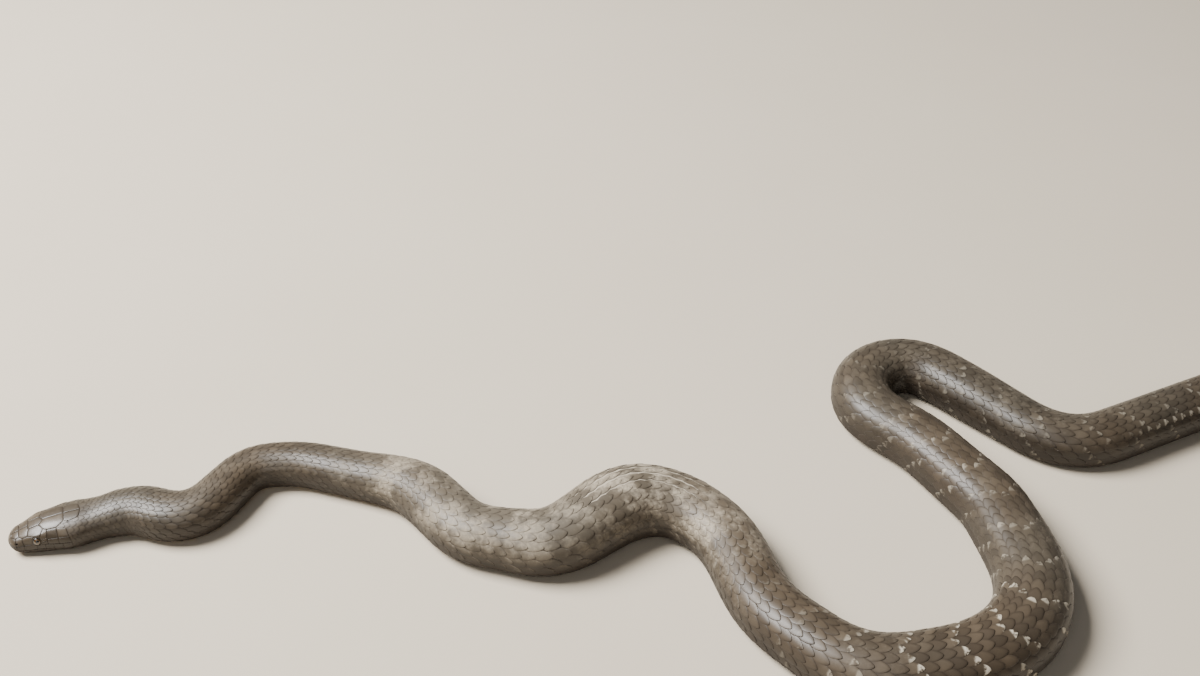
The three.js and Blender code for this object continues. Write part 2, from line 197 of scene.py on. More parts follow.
def surface(distance, angle, out):
    """Point that stands out from the outer form along its normal."""
    distance, angle, out = np.broadcast_arrays(distance, angle, out)
    step = np.minimum(SLOPE_STEP, distance / 2)
    ahead = outer_form(distance - step, angle)
    behind = outer_form(np.minimum(distance + step, LENGTH), angle)
    left, right = outer_form(distance, angle + SLOPE_TURN), outer_form(distance, angle - SLOPE_TURN)
    normal = np.cross(behind - ahead, left - right)
    normal /= np.maximum(np.linalg.norm(normal, axis=-1, keepdims=True), LEAST_SIZE)
    return outer_form(distance, angle) + normal * out[..., None]


# Way round the section: shares of the arc from the back, 0, to the middle of the belly, 1
SNOUT_RINGS = 26
snout_turns = np.linspace(0.05, 1, SNOUT_RINGS) * math.pi / 2
snout_places = SNOUT_ROUND * (1 - np.cos(snout_turns))
round_places = np.concatenate([snout_places, np.arange(SNOUT_ROUND + 1.0, LENGTH + 1, 2)])
round_angles = np.linspace(0, 180, 181)
round_shares = np.linspace(0, 1, 129)
round_side, round_up = on_section(round_places[:, None], round_angles[None, :] + 1e-9)
round_arc = np.hypot(np.diff(round_side, axis=1), np.diff(round_up, axis=1)).cumsum(axis=1)
round_arc = np.concatenate([np.zeros((len(round_places), 1)), round_arc], axis=1)
angle_table = np.array([np.interp(round_shares * arc[-1], arc, round_angles) for arc in round_arc])


def half_round(distance):
    """Length of the arc from the back to the middle of the belly."""
    return np.interp(distance, round_places, round_arc[:, -1])


def read_table(table, distance, column):
    """Value of one of the tables above at a distance, between its rows and between its columns."""
    row = np.interp(distance, round_places, np.arange(len(round_places)))
    i = np.minimum(row.astype(int), len(round_places) - 2)
    j = np.minimum(column.astype(int), table.shape[1] - 2)
    s, t = row - i, column - j
    near = table[i, j] * (1 - t) + table[i, j + 1] * t
    far = table[i + 1, j] * (1 - t) + table[i + 1, j + 1] * t
    return near * (1 - s) + far * s


def angle_at(distance, share):
    """Angle of a share of the arc, above 0 on the left."""
    column = np.clip(np.abs(share), 0, 1) * (len(round_shares) - 1.001)
    return np.where(share < 0, -1, 1) * read_table(angle_table, distance, column)


def arc_at(distance, angle):
    """Length of the arc from the back to an angle."""
    return np.sign(angle) * read_table(round_arc, distance, np.abs(angle))


HEAD_DEPTH = 0.25
DEPTH_BY_WIDTH = 0.0095
DEEPENING = (50, 130)


def scale_depth(distance):
    """How far the skin lies inside the outer form: deeper behind the head, by the body's width."""
    return HEAD_DEPTH + DEPTH_BY_WIDTH * look_up(GIRTH, distance) * smooth_step(distance, *DEEPENING)


# Openings of the head, seen from the side
MOUTH_LINE = ((0, 9.6), (10, 9), (22, 9.4), (33, 10.6), (46, 10), (58, 8.6), (68, 9.6))
MOUTH_CORNER, MOUTH_CORNER_FADE = 68, 6
MOUTH_DEPTH, MOUTH_HALF_HEIGHT = 1.5, 0.45
EYE_ALONG, EYE_UP, EYE_RADIUS = 31, 20.5, 5.2
SOCKET_RADIUS, SOCKET_DEPTH = 4.1, 3
NOSTRIL_ALONG, NOSTRIL_UP, NOSTRIL_RADIUS, NOSTRIL_DEPTH = 9.4, 17, 1.5, 3


def head_hollows(distance, angle):
    """How far the line of the mouth, the nostrils and the eye sockets sink."""
    _, up = on_section(distance, angle)
    mouth = look_up(MOUTH_LINE, np.minimum(distance, MOUTH_CORNER))
    opened = smooth_step(distance, -1, 2)
    opened = opened * smooth_step(distance, MOUTH_CORNER, MOUTH_CORNER - MOUTH_CORNER_FADE)
    groove = MOUTH_DEPTH * opened * np.exp(-((up - mouth) / MOUTH_HALF_HEIGHT) ** 2)
    groove *= np.abs(angle) > 60
    eye = np.hypot(distance - EYE_ALONG, up - EYE_UP) / SOCKET_RADIUS
    nostril = np.hypot(distance - NOSTRIL_ALONG, up - NOSTRIL_UP) / NOSTRIL_RADIUS
    return groove + NOSTRIL_DEPTH * np.exp(-nostril ** 6) + SOCKET_DEPTH * np.exp(-eye ** 8)


def rows_of(*parts):
    """One row for each point, from grids of numbers that fit together."""
    return np.stack(np.broadcast_arrays(*parts), -1).reshape(-1, len(parts))


def corners_of(faces):
    """Corners of faces, one after another, and how many each has."""
    return np.concatenate([np.asarray(face) for face in faces]), np.array([len(face) for face in faces])


def make_mesh(name, points, corners, sizes=None, unwrap=None, **layers):
    """Mesh object from points in millimetres, its faces' corners, four to a face unless sizes are given,
    and named layers of numbers. Nothing hangs below the floor."""
    points = np.maximum(points.reshape(-1, 3), (-math.inf, -math.inf, 0))
    corners = corners.ravel()
    if sizes is None:
        sizes = np.full(len(corners) // 4, 4)
    mesh = bpy.data.meshes.new(name)
    mesh.vertices.add(len(points))
    mesh.vertices.foreach_set("co", (points * MM).astype(np.float32).ravel())
    mesh.loops.add(len(corners))
    mesh.loops.foreach_set("vertex_index", corners.astype(np.int32))
    mesh.polygons.add(len(sizes))
    mesh.polygons.foreach_set("loop_start", (np.cumsum(sizes) - sizes).astype(np.int32))
    mesh.update(calc_edges=True)
    mesh.shade_smooth()
    for layer, values in layers.items():
        attribute = mesh.attributes.new(layer, "FLOAT_VECTOR", "POINT")
        attribute.data.foreach_set("vector", values.astype(np.float32).ravel())
    if unwrap is not None:
        mesh.uv_layers.new(name="OFBake").data.foreach_set("uv", unwrap.astype(np.float32).ravel())
    mesh.validate()
    piece = bpy.data.objects.new(name, mesh)
    bpy.context.scene.collection.objects.link(piece)
    return piece


def grid_faces(rows, columns, wrap=False):
    """Corners of the squares between rows of points, the last column joined to the first if wrapped."""
    r, c = np.meshgrid(np.arange(rows - 1), np.arange(columns - (not wrap)), indexing="ij")
    here, beside = r * columns + c, r * columns + (c + 1) % columns
    return np.stack([here, here + columns, beside + columns, beside], -1).reshape(-1, 4)


HEAD_AROUND = 250
BODY_AROUND = 50
HEAD_STEP = 0.6
BODY_STEP = 5
HEAD_SKIN_END = 95
SKIN_END = LENGTH - 14

head_steps = np.arange(SNOUT_ROUND + HEAD_STEP, HEAD_SKIN_END + HEAD_STEP / 2, HEAD_STEP)
head_stations = np.concatenate([snout_places, head_steps])
body_stations = np.arange(HEAD_SKIN_END + BODY_STEP, SKIN_END, BODY_STEP)


def skin_rings(stations, around):
    """Points of rings of skin, and for each how far along and round it lies."""
    distance, share = np.meshgrid(stations, np.linspace(-1, 1, around, endpoint=False), indexing="ij")
    angle = angle_at(distance, share)
    points = surface(distance, angle, -scale_depth(distance) - head_hollows(distance, angle))
    return points.reshape(-1, 3), rows_of(distance * MM, share, 0)


head_points, head_where = skin_rings(head_stations, HEAD_AROUND)
body_points, body_where = skin_rings(body_stations, BODY_AROUND)
snout_tip = place(np.array([0.0]), 0, SNOUT_HEIGHT)
tail_tip = place(body_stations[-1:] + 2, 0, section(LENGTH)[3])
skin_points = np.concatenate([head_points, body_points, snout_tip, tail_tip])
skin_where = np.concatenate([head_where, body_where, head_where[:1], body_where[-1:]])

first_body = len(head_points)
last_head = first_body - HEAD_AROUND
snout_corner = first_body + len(body_points)
last_body = snout_corner - BODY_AROUND
faces = [*grid_faces(len(head_stations), HEAD_AROUND, wrap=True),
         *grid_faces(len(body_stations), BODY_AROUND, wrap=True) + first_body]
share_out = HEAD_AROUND // BODY_AROUND
for n in range(BODY_AROUND):
    edge = [last_head + (n * share_out + k) % HEAD_AROUND for k in range(share_out, -1, -1)]
    faces.append([first_body + n, first_body + (n + 1) % BODY_AROUND, *edge])
faces += [[snout_corner, n, (n + 1) % HEAD_AROUND] for n in range(HEAD_AROUND)]
faces += [[snout_corner + 1, last_body + (n + 1) % BODY_AROUND, last_body + n] for n in range(BODY_AROUND)]
skin = make_mesh("skin", skin_points, *corners_of(faces), where=skin_where)

FLESH = [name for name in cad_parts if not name.startswith("eye")]
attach(skin, "root")
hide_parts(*FLESH)


def fill(made, inputs):
    """Joins a node's inputs to sockets or sets them to values."""
    for key, value in inputs.items():
        if isinstance(value, bpy.types.NodeSocket):
            made.id_data.links.new(value, made.inputs[key])
        else:
            made.inputs[key].default_value = value


def node(tree, kind, inputs=(), **settings):
    made = tree.nodes.new(kind)
    for name, value in settings.items():
        setattr(made, name, value)
    fill(made, dict(inputs))
    return made


def sums(tree, operation, a, b=0.0, c=0.0):
    return node(tree, "ShaderNodeMath", {0: a, 1: b, 2: c}, operation=operation).outputs[0]


def times(tree, a, b):
    return sums(tree, "MULTIPLY", a, b)


def scaled(tree, value, by, plus):
    return sums(tree, "MULTIPLY_ADD", value, by, plus)


def ramp(tree, value, start, end):
    """0 up to start and 1 from end on, with a smooth passage, also where the end is the lower one."""
    inputs = {"Value": value, "From Min": start, "From Max": end}
    return node(tree, "ShaderNodeMapRange", inputs, interpolation_type="SMOOTHSTEP").outputs[0]


def blend(tree, share, a, b, how="MIX"):
    return node(tree, "ShaderNodeMix", {0: share, 6: a, 7: b}, data_type="RGBA", blend_type=how).outputs[2]


def parts_of(tree, vector):
    return node(tree, "ShaderNodeSeparateXYZ", {0: vector}).outputs


def layer(tree, name):
    return node(tree, "ShaderNodeAttribute", attribute_name=name).outputs["Vector"]


def noise(tree, scale, detail=3.0, roughness=0.55, over=None):
    """Cloudy values over the object's own place, or over another vector."""
    if over is None:
        over = node(tree, "ShaderNodeTexCoord").outputs["Object"]
    inputs = {"Vector": over, "Scale": scale, "Detail": detail, "Roughness": roughness}
    return node(tree, "ShaderNodeTexNoise", inputs).outputs[0]


def new_group(name, inputs, outputs):
    """Empty node group with named sockets; gives it with its inputs and its output node."""
    tree = bpy.data.node_groups.new(name, "ShaderNodeTree")
    for way, sockets in (("INPUT", inputs), ("OUTPUT", outputs)):
        for socket, kind in sockets.items():
            tree.interface.new_socket(socket, in_out=way, socket_type="NodeSocket" + kind)
    return tree, node(tree, "NodeGroupInput").outputs, node(tree, "NodeGroupOutput")


def use_group(tree, group, inputs):
    return node(tree, "ShaderNodeGroup", inputs, node_tree=group).outputs


REAR_BELLY = (0.03, 0.023, 0.016, 1)

# Places behind the snout, in metres, between which the colours change
THROAT_ENDS = (0.2, 0.7)
REAR_DARKENS = (1.5, 3.0)


def hide_tone_group():
    """Colour of the animal by place, cloudy, and a little apart from plate to plate.
    The belly is cream under the throat and grey-brown behind it."""
    tree, given, result = new_group(
        "hide_tone",
        {"Where": "Vector", "Back": "Color", "Flank": "Color", "Belly": "Color", "Cool": "Color"},
        {"Color": "Color"},
    )
    along, share, own_tone = parts_of(tree, given["Where"])
    mottle = noise(tree, 55.0)
    way_round = scaled(tree, mottle, 0.12, sums(tree, "ABSOLUTE", share))
    cloud = times(tree, ramp(tree, noise(tree, 5.0), 0.36, 0.66), 0.75)
    back = blend(tree, cloud, given["Back"], given["Cool"])
    # Towards the belly the colour turns to the flank colour, which for the horn is partly painted shade on
    # the lower sides.
    sides = blend(tree, ramp(tree, way_round, 0.31, 0.6), back, given["Flank"])
    belly = blend(tree, ramp(tree, along, *THROAT_ENDS), given["Belly"], REAR_BELLY)
    body = blend(tree, ramp(tree, way_round, 0.78, 0.96), sides, belly)
    shade = times(tree, scaled(tree, own_tone, 0.46, 0.77), scaled(tree, mottle, 0.5, 0.75))
    shade = times(tree, shade, scaled(tree, ramp(tree, along, *REAR_DARKENS), -0.3, 1.0))
    fill(result, {"Color": blend(tree, 1.0, body, shade, "MULTIPLY")})
    return tree


DUST_COLOUR = (0.5, 0.42, 0.31, 1)
DUST_ROUGHNESS = 0.9


def dust_group():
    """Dry soil that clings in patches, more on what faces up, with a thin film where there is much of it."""
    tree, given, result = new_group(
        "dust",
        {"Color": "Color", "Roughness": "Float", "Amount": "Float"},
        {"Color": "Color", "Roughness": "Float"},
    )
    up = parts_of(tree, node(tree, "ShaderNodeNewGeometry").outputs["Normal"])[2]
    blotches = ramp(tree, noise(tree, 34.0, 4.0, 0.65), 0.42, 0.62)
    patches = times(tree, ramp(tree, noise(tree, 7.0, 2.0), 0.4, 0.66), blotches)
    grains = ramp(tree, noise(tree, 240.0, 3.0, 0.7), 0.44, 0.62)
    patches = times(tree, patches, scaled(tree, grains, 0.7, 0.3))
    film = times(tree, ramp(tree, given["Amount"], 0.25, 0.55), scaled(tree, blotches, 0.24, 0.1))
    cover = times(tree, scaled(tree, patches, given["Amount"], film), ramp(tree, up, -0.2, 0.75))
    rougher = sums(tree, "SUBTRACT", DUST_ROUGHNESS, given["Roughness"])
    fill(result, {"Color": blend(tree, cover, given["Color"], DUST_COLOUR),
                  "Roughness": scaled(tree, rougher, cover, given["Roughness"])})
    return tree


hide_tone = hide_tone_group()
dust = dust_group()


def new_material(name):
    """Empty material; gives it with its tree and its shader."""
    material = bpy.data.materials.new(name)
    material.use_nodes = True
    tree = material.node_tree
    return material, tree, tree.nodes["Principled BSDF"]


def tone_here(tree, back, flank, belly, cool):
    tones = {"Where": layer(tree, "where"), "Back": back, "Flank": flank, "Belly": belly, "Cool": cool}
    return use_group(tree, hide_tone, tones)["Color"]


def bumps(tree, height, strength, depth):
    """Normal with fine bumps, their depth in metres."""
    inputs = {"Height": height, "Strength": strength, "Distance": depth}
    return node(tree, "ShaderNodeBump", inputs).outputs[0]


SKIN_BACK = (0.14, 0.11, 0.07, 1)
SKIN_PALE = (0.3, 0.245, 0.17, 1)
STRETCHED_SKIN = (0.5, 0.43, 0.33, 1)
SKIN_BELLY = (0.36, 0.28, 0.18, 1)
GROOVE_PAINTED_SHADE = (0.025, 0.017, 0.011, 1)
FULLEST_STARTS, FULLEST_ENDS = (0.64, 0.72), (0.83, 0.9)
HEAD_GROOVES_END = (0.09, 0.15)


def skin_material():
    """Finish of the skin: pale where the body is at its fullest, and near black on the head, as painted
    shade in the grooves between the shields.
    """
    material, tree, shader = new_material("hide_between_scales")
    along = parts_of(tree, layer(tree, "where"))[0]
    fullest = times(tree, ramp(tree, along, *FULLEST_STARTS), ramp(tree, along, *FULLEST_ENDS[::-1]))
    tone = blend(tree, fullest, tone_here(tree, SKIN_PALE, SKIN_PALE, SKIN_BELLY, SKIN_BACK), STRETCHED_SKIN)
    # On the head the skin shows only in the grooves between the shields, and is painted near black there as
    # painted shade.
    tone = blend(tree, ramp(tree, along, *HEAD_GROOVES_END[::-1]), tone, GROOVE_PAINTED_SHADE)
    dusty = use_group(tree, dust, {"Color": tone, "Roughness": 0.55, "Amount": 0.2})
    fill(shader, {"Base Color": dusty["Color"], "Roughness": dusty["Roughness"],
                  "Normal": bumps(tree, noise(tree, 900.0), strength=0.4, depth=0.0003)})
    return material


skin.data.materials.append(skin_material())

# Head shields: thin horny plates, each grown onto the skin of the head in a fixed place,
# smooth and faintly domed, with a hairline groove between neighbours.
SHIELD_RISE = 0.32
SHIELD_ROOT = 0.7
SHIELD_DOME = 0.1
SHIELD_GAP = 0.09
SHIELD_AROUND = 80
SHIELD_SHARP_FROM = 60
CHIN_RISE = -0.12
LIP_RISE = 0.2
LIP_GAP = 0.24
EYE_OPENING = 4.45

# How finely outlines are followed: corners to a line, to a lip shield and to the nostril,
# degrees between those of the eye, and halvings of the way to a spot of the snout
LINE_CORNERS, LIP_CORNERS, NOSTRIL_CORNERS = 9, 5, 14
EYE_CORNER_STEP = 9
SNOUT_HALVINGS = 26

# Share of the way from the middle to the rim, and how far the plate has dropped there
SHIELD_RINGS = (
    (0.2, 0), (0.4, 0), (0.58, 0), (0.73, 0), (0.84, 0.01), (0.92, 0.04), (0.97, 0.11), (1, 0.24),
)

# On the snout, up to these distances, the colours go by height: heights, and the shares of the arc
# that they stand for
ON_SNOUT = (16, 5)
SNOUT_SHARES = ((2.5, 6, 9, 13, 20), (1, 0.8, 0.7, 0.55, 0))

# Shields have neither a root nor a free tip: for the finish, all of a shield lies this far from root to tip
MID_PLATE = 0.75

# Place on the unwrap: left edge, and millimetres to its full width and height
SIDE_PATCH = (0.02, 110, 162)
FRONT_PATCH = (0.76, 95, 50)


def from_above(along, side, under=False):
    """Distance and angle of a spot seen from above or from under, by its places along and to the left."""
    half, _, _, _, *squares = section(along)
    turn = np.degrees(np.arcsin(np.minimum(1, np.abs(side) / half) ** (squares[under] / 2)))
    return along, np.where(side < 0, -1, 1) * (180 - turn if under else turn)


def from_below(along, side):
    return from_above(along, side, under=True)


def from_side(along, up):
    _, top, bottom, widest, square_above, square_below = section(along)
    above = up >= widest
    reach = np.where(above, top - widest, (widest - bottom) * BELLY_SPREAD)
    square = np.where(above, square_above, square_below)
    c = np.minimum(1, np.abs(up - widest) / reach) ** (square / 2)
    return along, np.degrees(np.arccos(np.where(above, c, -c)))


def from_front(side, up):
    """Distance and angle of a spot of the snout, found by halving the way again and again."""
    near = np.full_like(side, 0.03)
    far = np.full_like(side, SNOUT_ROUND)
    for _ in range(SNOUT_HALVINGS):
        along = (near + far) / 2
        _, top, bottom, *_ = section(along)
        reach, _ = on_section(along, from_side(along, up)[1])
        inside = (up < top) & (up > bottom) & (np.abs(side) < reach)
        near, far = np.where(inside, near, along), np.where(inside, along, far)
    half, _, _, widest, *_ = section(far)
    plan = np.where(up < widest, np.abs(from_below(far, side)[1]), np.abs(from_above(far, side)[1]))
    turn = np.where(np.abs(side) < 0.75 * half, plan, from_side(far, up)[1])
    return far, np.where(side < 0, -1, 1) * turn


def corner(view, a, b):
    """A corner of the left half as seen in a plain view, laid out flat: along, and round from the back."""
    along, angle = view(np.array([a + 0.0]), np.array([b + 0.0]))
    return float(along[0]), float(arc_at(along, angle)[0])


def middle_line(first, last):
    """Corners along the middle of the underside."""
    return [corner(from_below, along, 0) for along in np.linspace(first, last, LINE_CORNERS)]


def mouth_corner(along, gap):
    return corner(from_side, along, look_up(MOUTH_LINE, np.array([along + 0.0]))[0] + gap)


def lip_edge(first, last, gap):
    return [mouth_corner(along, gap) for along in np.linspace(first, last, LIP_CORNERS)]


def eye_rim(first, last):
    """Corners on the edge of the eye's opening, by degrees anticlockwise from straight behind it."""
    turns = np.radians(np.linspace(first, last, 2 + int(abs(last - first) // EYE_CORNER_STEP)))
    return [corner(from_side, EYE_ALONG + EYE_OPENING * math.cos(t), EYE_UP + EYE_OPENING * math.sin(t))
            for t in turns]


NOSTRIL_NARROWNESS = 0.68
NOSTRIL_SLANT = (0.87, 0.5)
NOSTRIL_OPENING = 1.12


def nostril_spot(turn, size):
    """Point round the nostril, a slanting oval: its distance behind the snout and its height."""
    long = NOSTRIL_RADIUS * size * np.cos(turn)
    high = NOSTRIL_RADIUS * NOSTRIL_NARROWNESS * size * np.sin(turn)
    level, steep = NOSTRIL_SLANT
    return NOSTRIL_ALONG + level * long - steep * high, NOSTRIL_UP + steep * long + level * high


def nostril_rim(first, last):
    turns = np.radians(np.linspace(first, last, NOSTRIL_CORNERS))
    return [corner(from_side, *nostril_spot(t, NOSTRIL_OPENING)) for t in turns]


def between(first, second, share):
    return tuple(a + (b - a) * share for a, b in zip(first, second))


def line(first, last):
    """Corners on the way from one corner to another, straight when laid out flat."""
    return [between(first, last, share) for share in np.linspace(0, 1, LINE_CORNERS)]


def seen_in_front(along, arc):
    side, up = on_section(np.float64(along), angle_at(np.array([along]), arc / half_round(along)))
    return float(side[0]), float(up[0])


def front_line(*spots):
    """Corners on the way from spot to spot, straight when seen from the front."""
    return [corner(from_front, *spot) for ends in zip(spots, spots[1:]) for spot in line(*ends)]


# Spots seen from the front, to the left of the middle line: round the rostral and the mental shield
SNOUT_TOP, SNOUT_SIDE, SNOUT_LIP, SNOUT_MOUTH = (0, 19.6), (3.7, 18.1), (7, 14.2), (6.6, 9.8)
TONGUE_NOTCH = ((1.7, 9.9), (0.9, 10.4), (0, 10.55))
CHIN_MOUTH, CHIN_SIDE, CHIN_TIP = (4.6, 9.32), (3.1, 6.2), (0, 4.2)

# Corners on the middle line of the head, from the snout to the nape
noses_back, brow_middle, crown, crown_back, nape = [
    corner(from_above, along, 0) for along in (12.6, 22.3, 39, 60.5, 78)]

# Corners of the top of the left half
nose_top, nose_back, cheek_front, brow_front, brow_inner, crown_front, brow_back = [
    corner(from_above, *spot) for spot in (
        (8.6, 9.8), (12.4, 9.3), (15.8, 12.9), (21.6, 13.6), (23.2, 5.6), (34.5, 5.9), (38.6, 13.2))]
temple_front, temple_back, crown_side, nape_side, nape_back = [
    corner(from_above, *spot) for spot in ((42.6, 15.8), (52.5, 17), (60.5, 11.2), (67, 13), (75.5, 10.2))]

# Corners of the side of the left half
nostril_low, cheek_low, lip_before_eye, lip_behind_eye, lip_temple, lip_jaw, lip_end = [
    corner(from_side, *spot) for spot in (
        (9.3, 13.9), (17, 15.2), (24, 16.4), (38.5, 17.2), (47, 17), (56.5, 17.2), (65.5, 17.4))]
eye_back_low, eye_back_high, temple_middle, jaw_middle, jaw_top = [
    corner(from_side, *spot) for spot in ((41.6, 20.7), (41.6, 24.2), (53, 23.6), (64, 24), (62.5, 30.6))]
eye_back_foot = between(lip_behind_eye, lip_temple, 0.36)
eye_back_middle = between(eye_back_low, eye_back_high, 0.5)
temple_foot = between(lip_temple, lip_jaw, 0.62)

# Corners of the lower jaw: on the middle line, at the chin shields and below the lip shields behind them
chin_middle = corner(from_below, 9.6, 0)
chin_edge = [corner(from_below, *spot) for spot in ((10.6, 4.4), (15, 7), (21, 8.6), (29.5, 9.6), (38, 7.5))]
jaw_edge = [corner(from_below, *spot) for spot in ((37.5, 15), (46.5, 18.2), (55.5, 20.5), (64, 22))]

LIPS_START = 2
UPPER_LIP_JOINTS = (9.2, 16.4, 29.6, 38, 46.2, 55.6, 65)
LOWER_LIP_JOINTS = (8.5, 14, 20.5, 29, 38, 47, 56, 65)
first_upper_lip = [
    *front_line(SNOUT_MOUTH, SNOUT_LIP, seen_in_front(*nostril_low)),
    *line(nostril_low, mouth_corner(UPPER_LIP_JOINTS[0], LIP_GAP)),
    *lip_edge(UPPER_LIP_JOINTS[0], LIPS_START, LIP_GAP),
]
first_lower_lip = [
    *front_line(CHIN_MOUTH, CHIN_SIDE, CHIN_TIP, seen_in_front(*chin_middle)),
    *line(chin_middle, chin_edge[0]),
    *line(chin_edge[0], mouth_corner(LOWER_LIP_JOINTS[0], -LIP_GAP)),
    *lip_edge(LOWER_LIP_JOINTS[0], LIPS_START, -LIP_GAP),
]
upper_lip_tops = (
    [nostril_low, cheek_low],
    [cheek_low, lip_before_eye, *eye_rim(216, 266)],
    [*eye_rim(266, 324), lip_behind_eye],
    [lip_behind_eye, lip_temple],
    [lip_temple, lip_jaw],
    [lip_jaw, lip_end],
)
lower_lip_corners = [*chin_edge[:4], *jaw_edge]
lower_lip_feet = zip(lower_lip_corners, lower_lip_corners[1:])
nose_edge = front_line(SNOUT_SIDE, SNOUT_LIP, seen_in_front(*nostril_low))
UPPER_SHIELDS = {
    "internasal": [*front_line(SNOUT_TOP, SNOUT_SIDE), nose_top, nose_back, noses_back],
    "prefrontal": [noses_back, nose_back, cheek_front, brow_front, brow_inner, brow_middle],
    "supraocular": [brow_inner, brow_front, *eye_rim(131, 44), brow_back, crown_front],
    "parietal": [crown, crown_front, brow_back, temple_front, temple_back, crown_side, crown_back],
    "occipital": [crown_back, crown_side, nape_side, nape_back, nape],
    "nasal_front": [*nose_edge, *nostril_rim(245, 85), nose_top],
    "nasal_back": [nose_top, *nostril_rim(85, -115), nostril_low, cheek_low, cheek_front, nose_back],
    "preocular": [cheek_front, cheek_low, lip_before_eye, *eye_rim(216, 131), brow_front],
    "postocular_low": [*eye_rim(324, 350), eye_back_low, eye_back_foot, lip_behind_eye],
    "postocular_middle": [*eye_rim(350, 376), eye_back_high, eye_back_low],
    "postocular_high": [*eye_rim(16, 44), brow_back, temple_front, eye_back_high],
    "temporal_low": [eye_back_foot, eye_back_low, eye_back_middle, temple_middle, temple_foot, lip_temple],
    "temporal_high": [eye_back_middle, eye_back_high, temple_front, temple_back, temple_middle],
    "back_temporal_low": [temple_foot, temple_middle, jaw_middle, lip_end, lip_jaw],
    "back_temporal_high": [temple_middle, temple_back, jaw_top, jaw_middle],
}
CHIN_SHIELDS = (
    [*middle_line(26.5, 9.6), *chin_edge[:3]],
    [*middle_line(42, 26.5), *chin_edge[2:]],
)


def laid_out(outline):
    """Outline of a plate with points every part of a millimetre and softly rounded corners."""
    closed = np.array([*outline, outline[0]], float)
    gone = np.concatenate([[0], np.linalg.norm(np.diff(closed, axis=0), axis=1).cumsum()])
    spots = np.linspace(0, gone[-1], SHIELD_AROUND, endpoint=False)
    points = np.stack([np.interp(spots, gone, column) for column in closed.T], -1)
    for _ in range(2):
        points = (np.roll(points, 1, axis=0) + 2 * points + np.roll(points, -1, axis=0)) / 4
    return points


def turning(points):
    """1 if the outline runs anticlockwise, or else -1."""
    ahead = np.roll(points, -1, axis=0)
    return np.sign(np.sum(points[:, 0] * ahead[:, 1] - points[:, 1] * ahead[:, 0]))


def disc_faces(rings, around):
    """Faces of a closed plate: a point in the middle, rings outwards, and a point underneath."""
    last = 1 + (rings - 1) * around
    steps = [(n, (n + 1) % around) for n in range(around)]
    return [
        *[[0, 1 + n, 1 + after] for n, after in steps],
        *[[at + n, at + around + n, at + around + after, at + after]
          for at in range(1, last, around) for n, after in steps],
        *[[last + n, last + around, last + after] for n, after in steps],
    ]


shield_random = np.random.default_rng(11)
shields = []


def shield(outline, hand=1, rise=SHIELD_RISE, in_front=False):
    """Keeps one plate, over an outline laid out flat or seen from the front, for the joined piece."""
    rim = laid_out(outline)
    ahead = np.roll(rim, -1, axis=0) - np.roll(rim, 1, axis=0)
    inwards = turning(rim) * np.stack([-ahead[:, 1], ahead[:, 0]], -1)
    rim = rim + SHIELD_GAP * inwards / np.linalg.norm(inwards, axis=1, keepdims=True)
    middle = rim.mean(axis=0)
    shares, drops = np.array([(0, 0), *SHIELD_RINGS, (1, 0), (0, 0)]).T
    heights = rise + SHIELD_DOME * (1 - shares ** 2) - drops
    heights[-2:] = -SHIELD_ROOT
    rings = [middle + (rim - middle) * share if share else middle[None] for share in shares]
    counts = [len(ring) for ring in rings]
    flat = np.concatenate(rings)
    if in_front:
        along, angle = from_front(*flat.T)
        flat = flat[:, ::-1]
    else:
        along = flat[:, 0]
        angle = angle_at(along, flat[:, 1] / half_round(along))
    points = surface(along, hand * angle, np.repeat(heights, counts))
    share = arc_at(along, angle) / half_round(along)
    at_snout = np.interp(on_section(along, angle)[1], *SNOUT_SHARES)
    share = hand * (share + (at_snout - share) * smooth_step(along, *ON_SNOUT))
    where = rows_of(along * MM, share, shield_random.random())
    plate = rows_of(MID_PLATE, 1, np.repeat(shares, counts))
    left_edge, long, wide = FRONT_PATCH if in_front else SIDE_PATCH
    unwrap = rows_of(left_edge + flat[:, 0] / long, 0.5 + hand * flat[:, 1] / wide)
    faces = disc_faces(len(shares) - 2, SHIELD_AROUND)
    if hand * turning(rim) * (-1 if in_front else 1) < 0:
        faces = [face[::-1] for face in faces]
    shields.append((points, where, plate, unwrap, faces))


def mirrored(half, across=1):
    """Whole outline across the middle line from its left half."""
    flip = np.where(np.arange(2) == across, -1, 1)
    return list(half) + [tuple(flip * spot) for spot in reversed(half) if abs(spot[across]) > 0.01]


shield(mirrored([brow_middle, brow_inner, crown_front, crown]))
shield(mirrored([SNOUT_TOP, SNOUT_SIDE, SNOUT_LIP, SNOUT_MOUTH, *TONGUE_NOTCH], 0), in_front=True)
shield(mirrored([CHIN_TIP, CHIN_SIDE, CHIN_MOUTH, (0, CHIN_MOUTH[1])], 0), rise=LIP_RISE, in_front=True)
upper_lips = list(zip(upper_lip_tops, UPPER_LIP_JOINTS, UPPER_LIP_JOINTS[1:]))
lower_lips = list(zip(lower_lip_feet, LOWER_LIP_JOINTS, LOWER_LIP_JOINTS[1:]))
for hand in (1, -1):
    for outline in UPPER_SHIELDS.values():
        shield(outline, hand)
    for outline in CHIN_SHIELDS:
        shield(outline, hand, CHIN_RISE)
    shield([seen_in_front(*spot) for spot in first_upper_lip], hand, in_front=True)
    shield([seen_in_front(*spot) for spot in first_lower_lip], hand, LIP_RISE, in_front=True)
    for top, front, back in upper_lips:
        shield([*top, *lip_edge(back, front, LIP_GAP)], hand)
    for foot, front, back in lower_lips:
        shield([*foot, *lip_edge(back, front, -LIP_GAP)], hand, LIP_RISE)

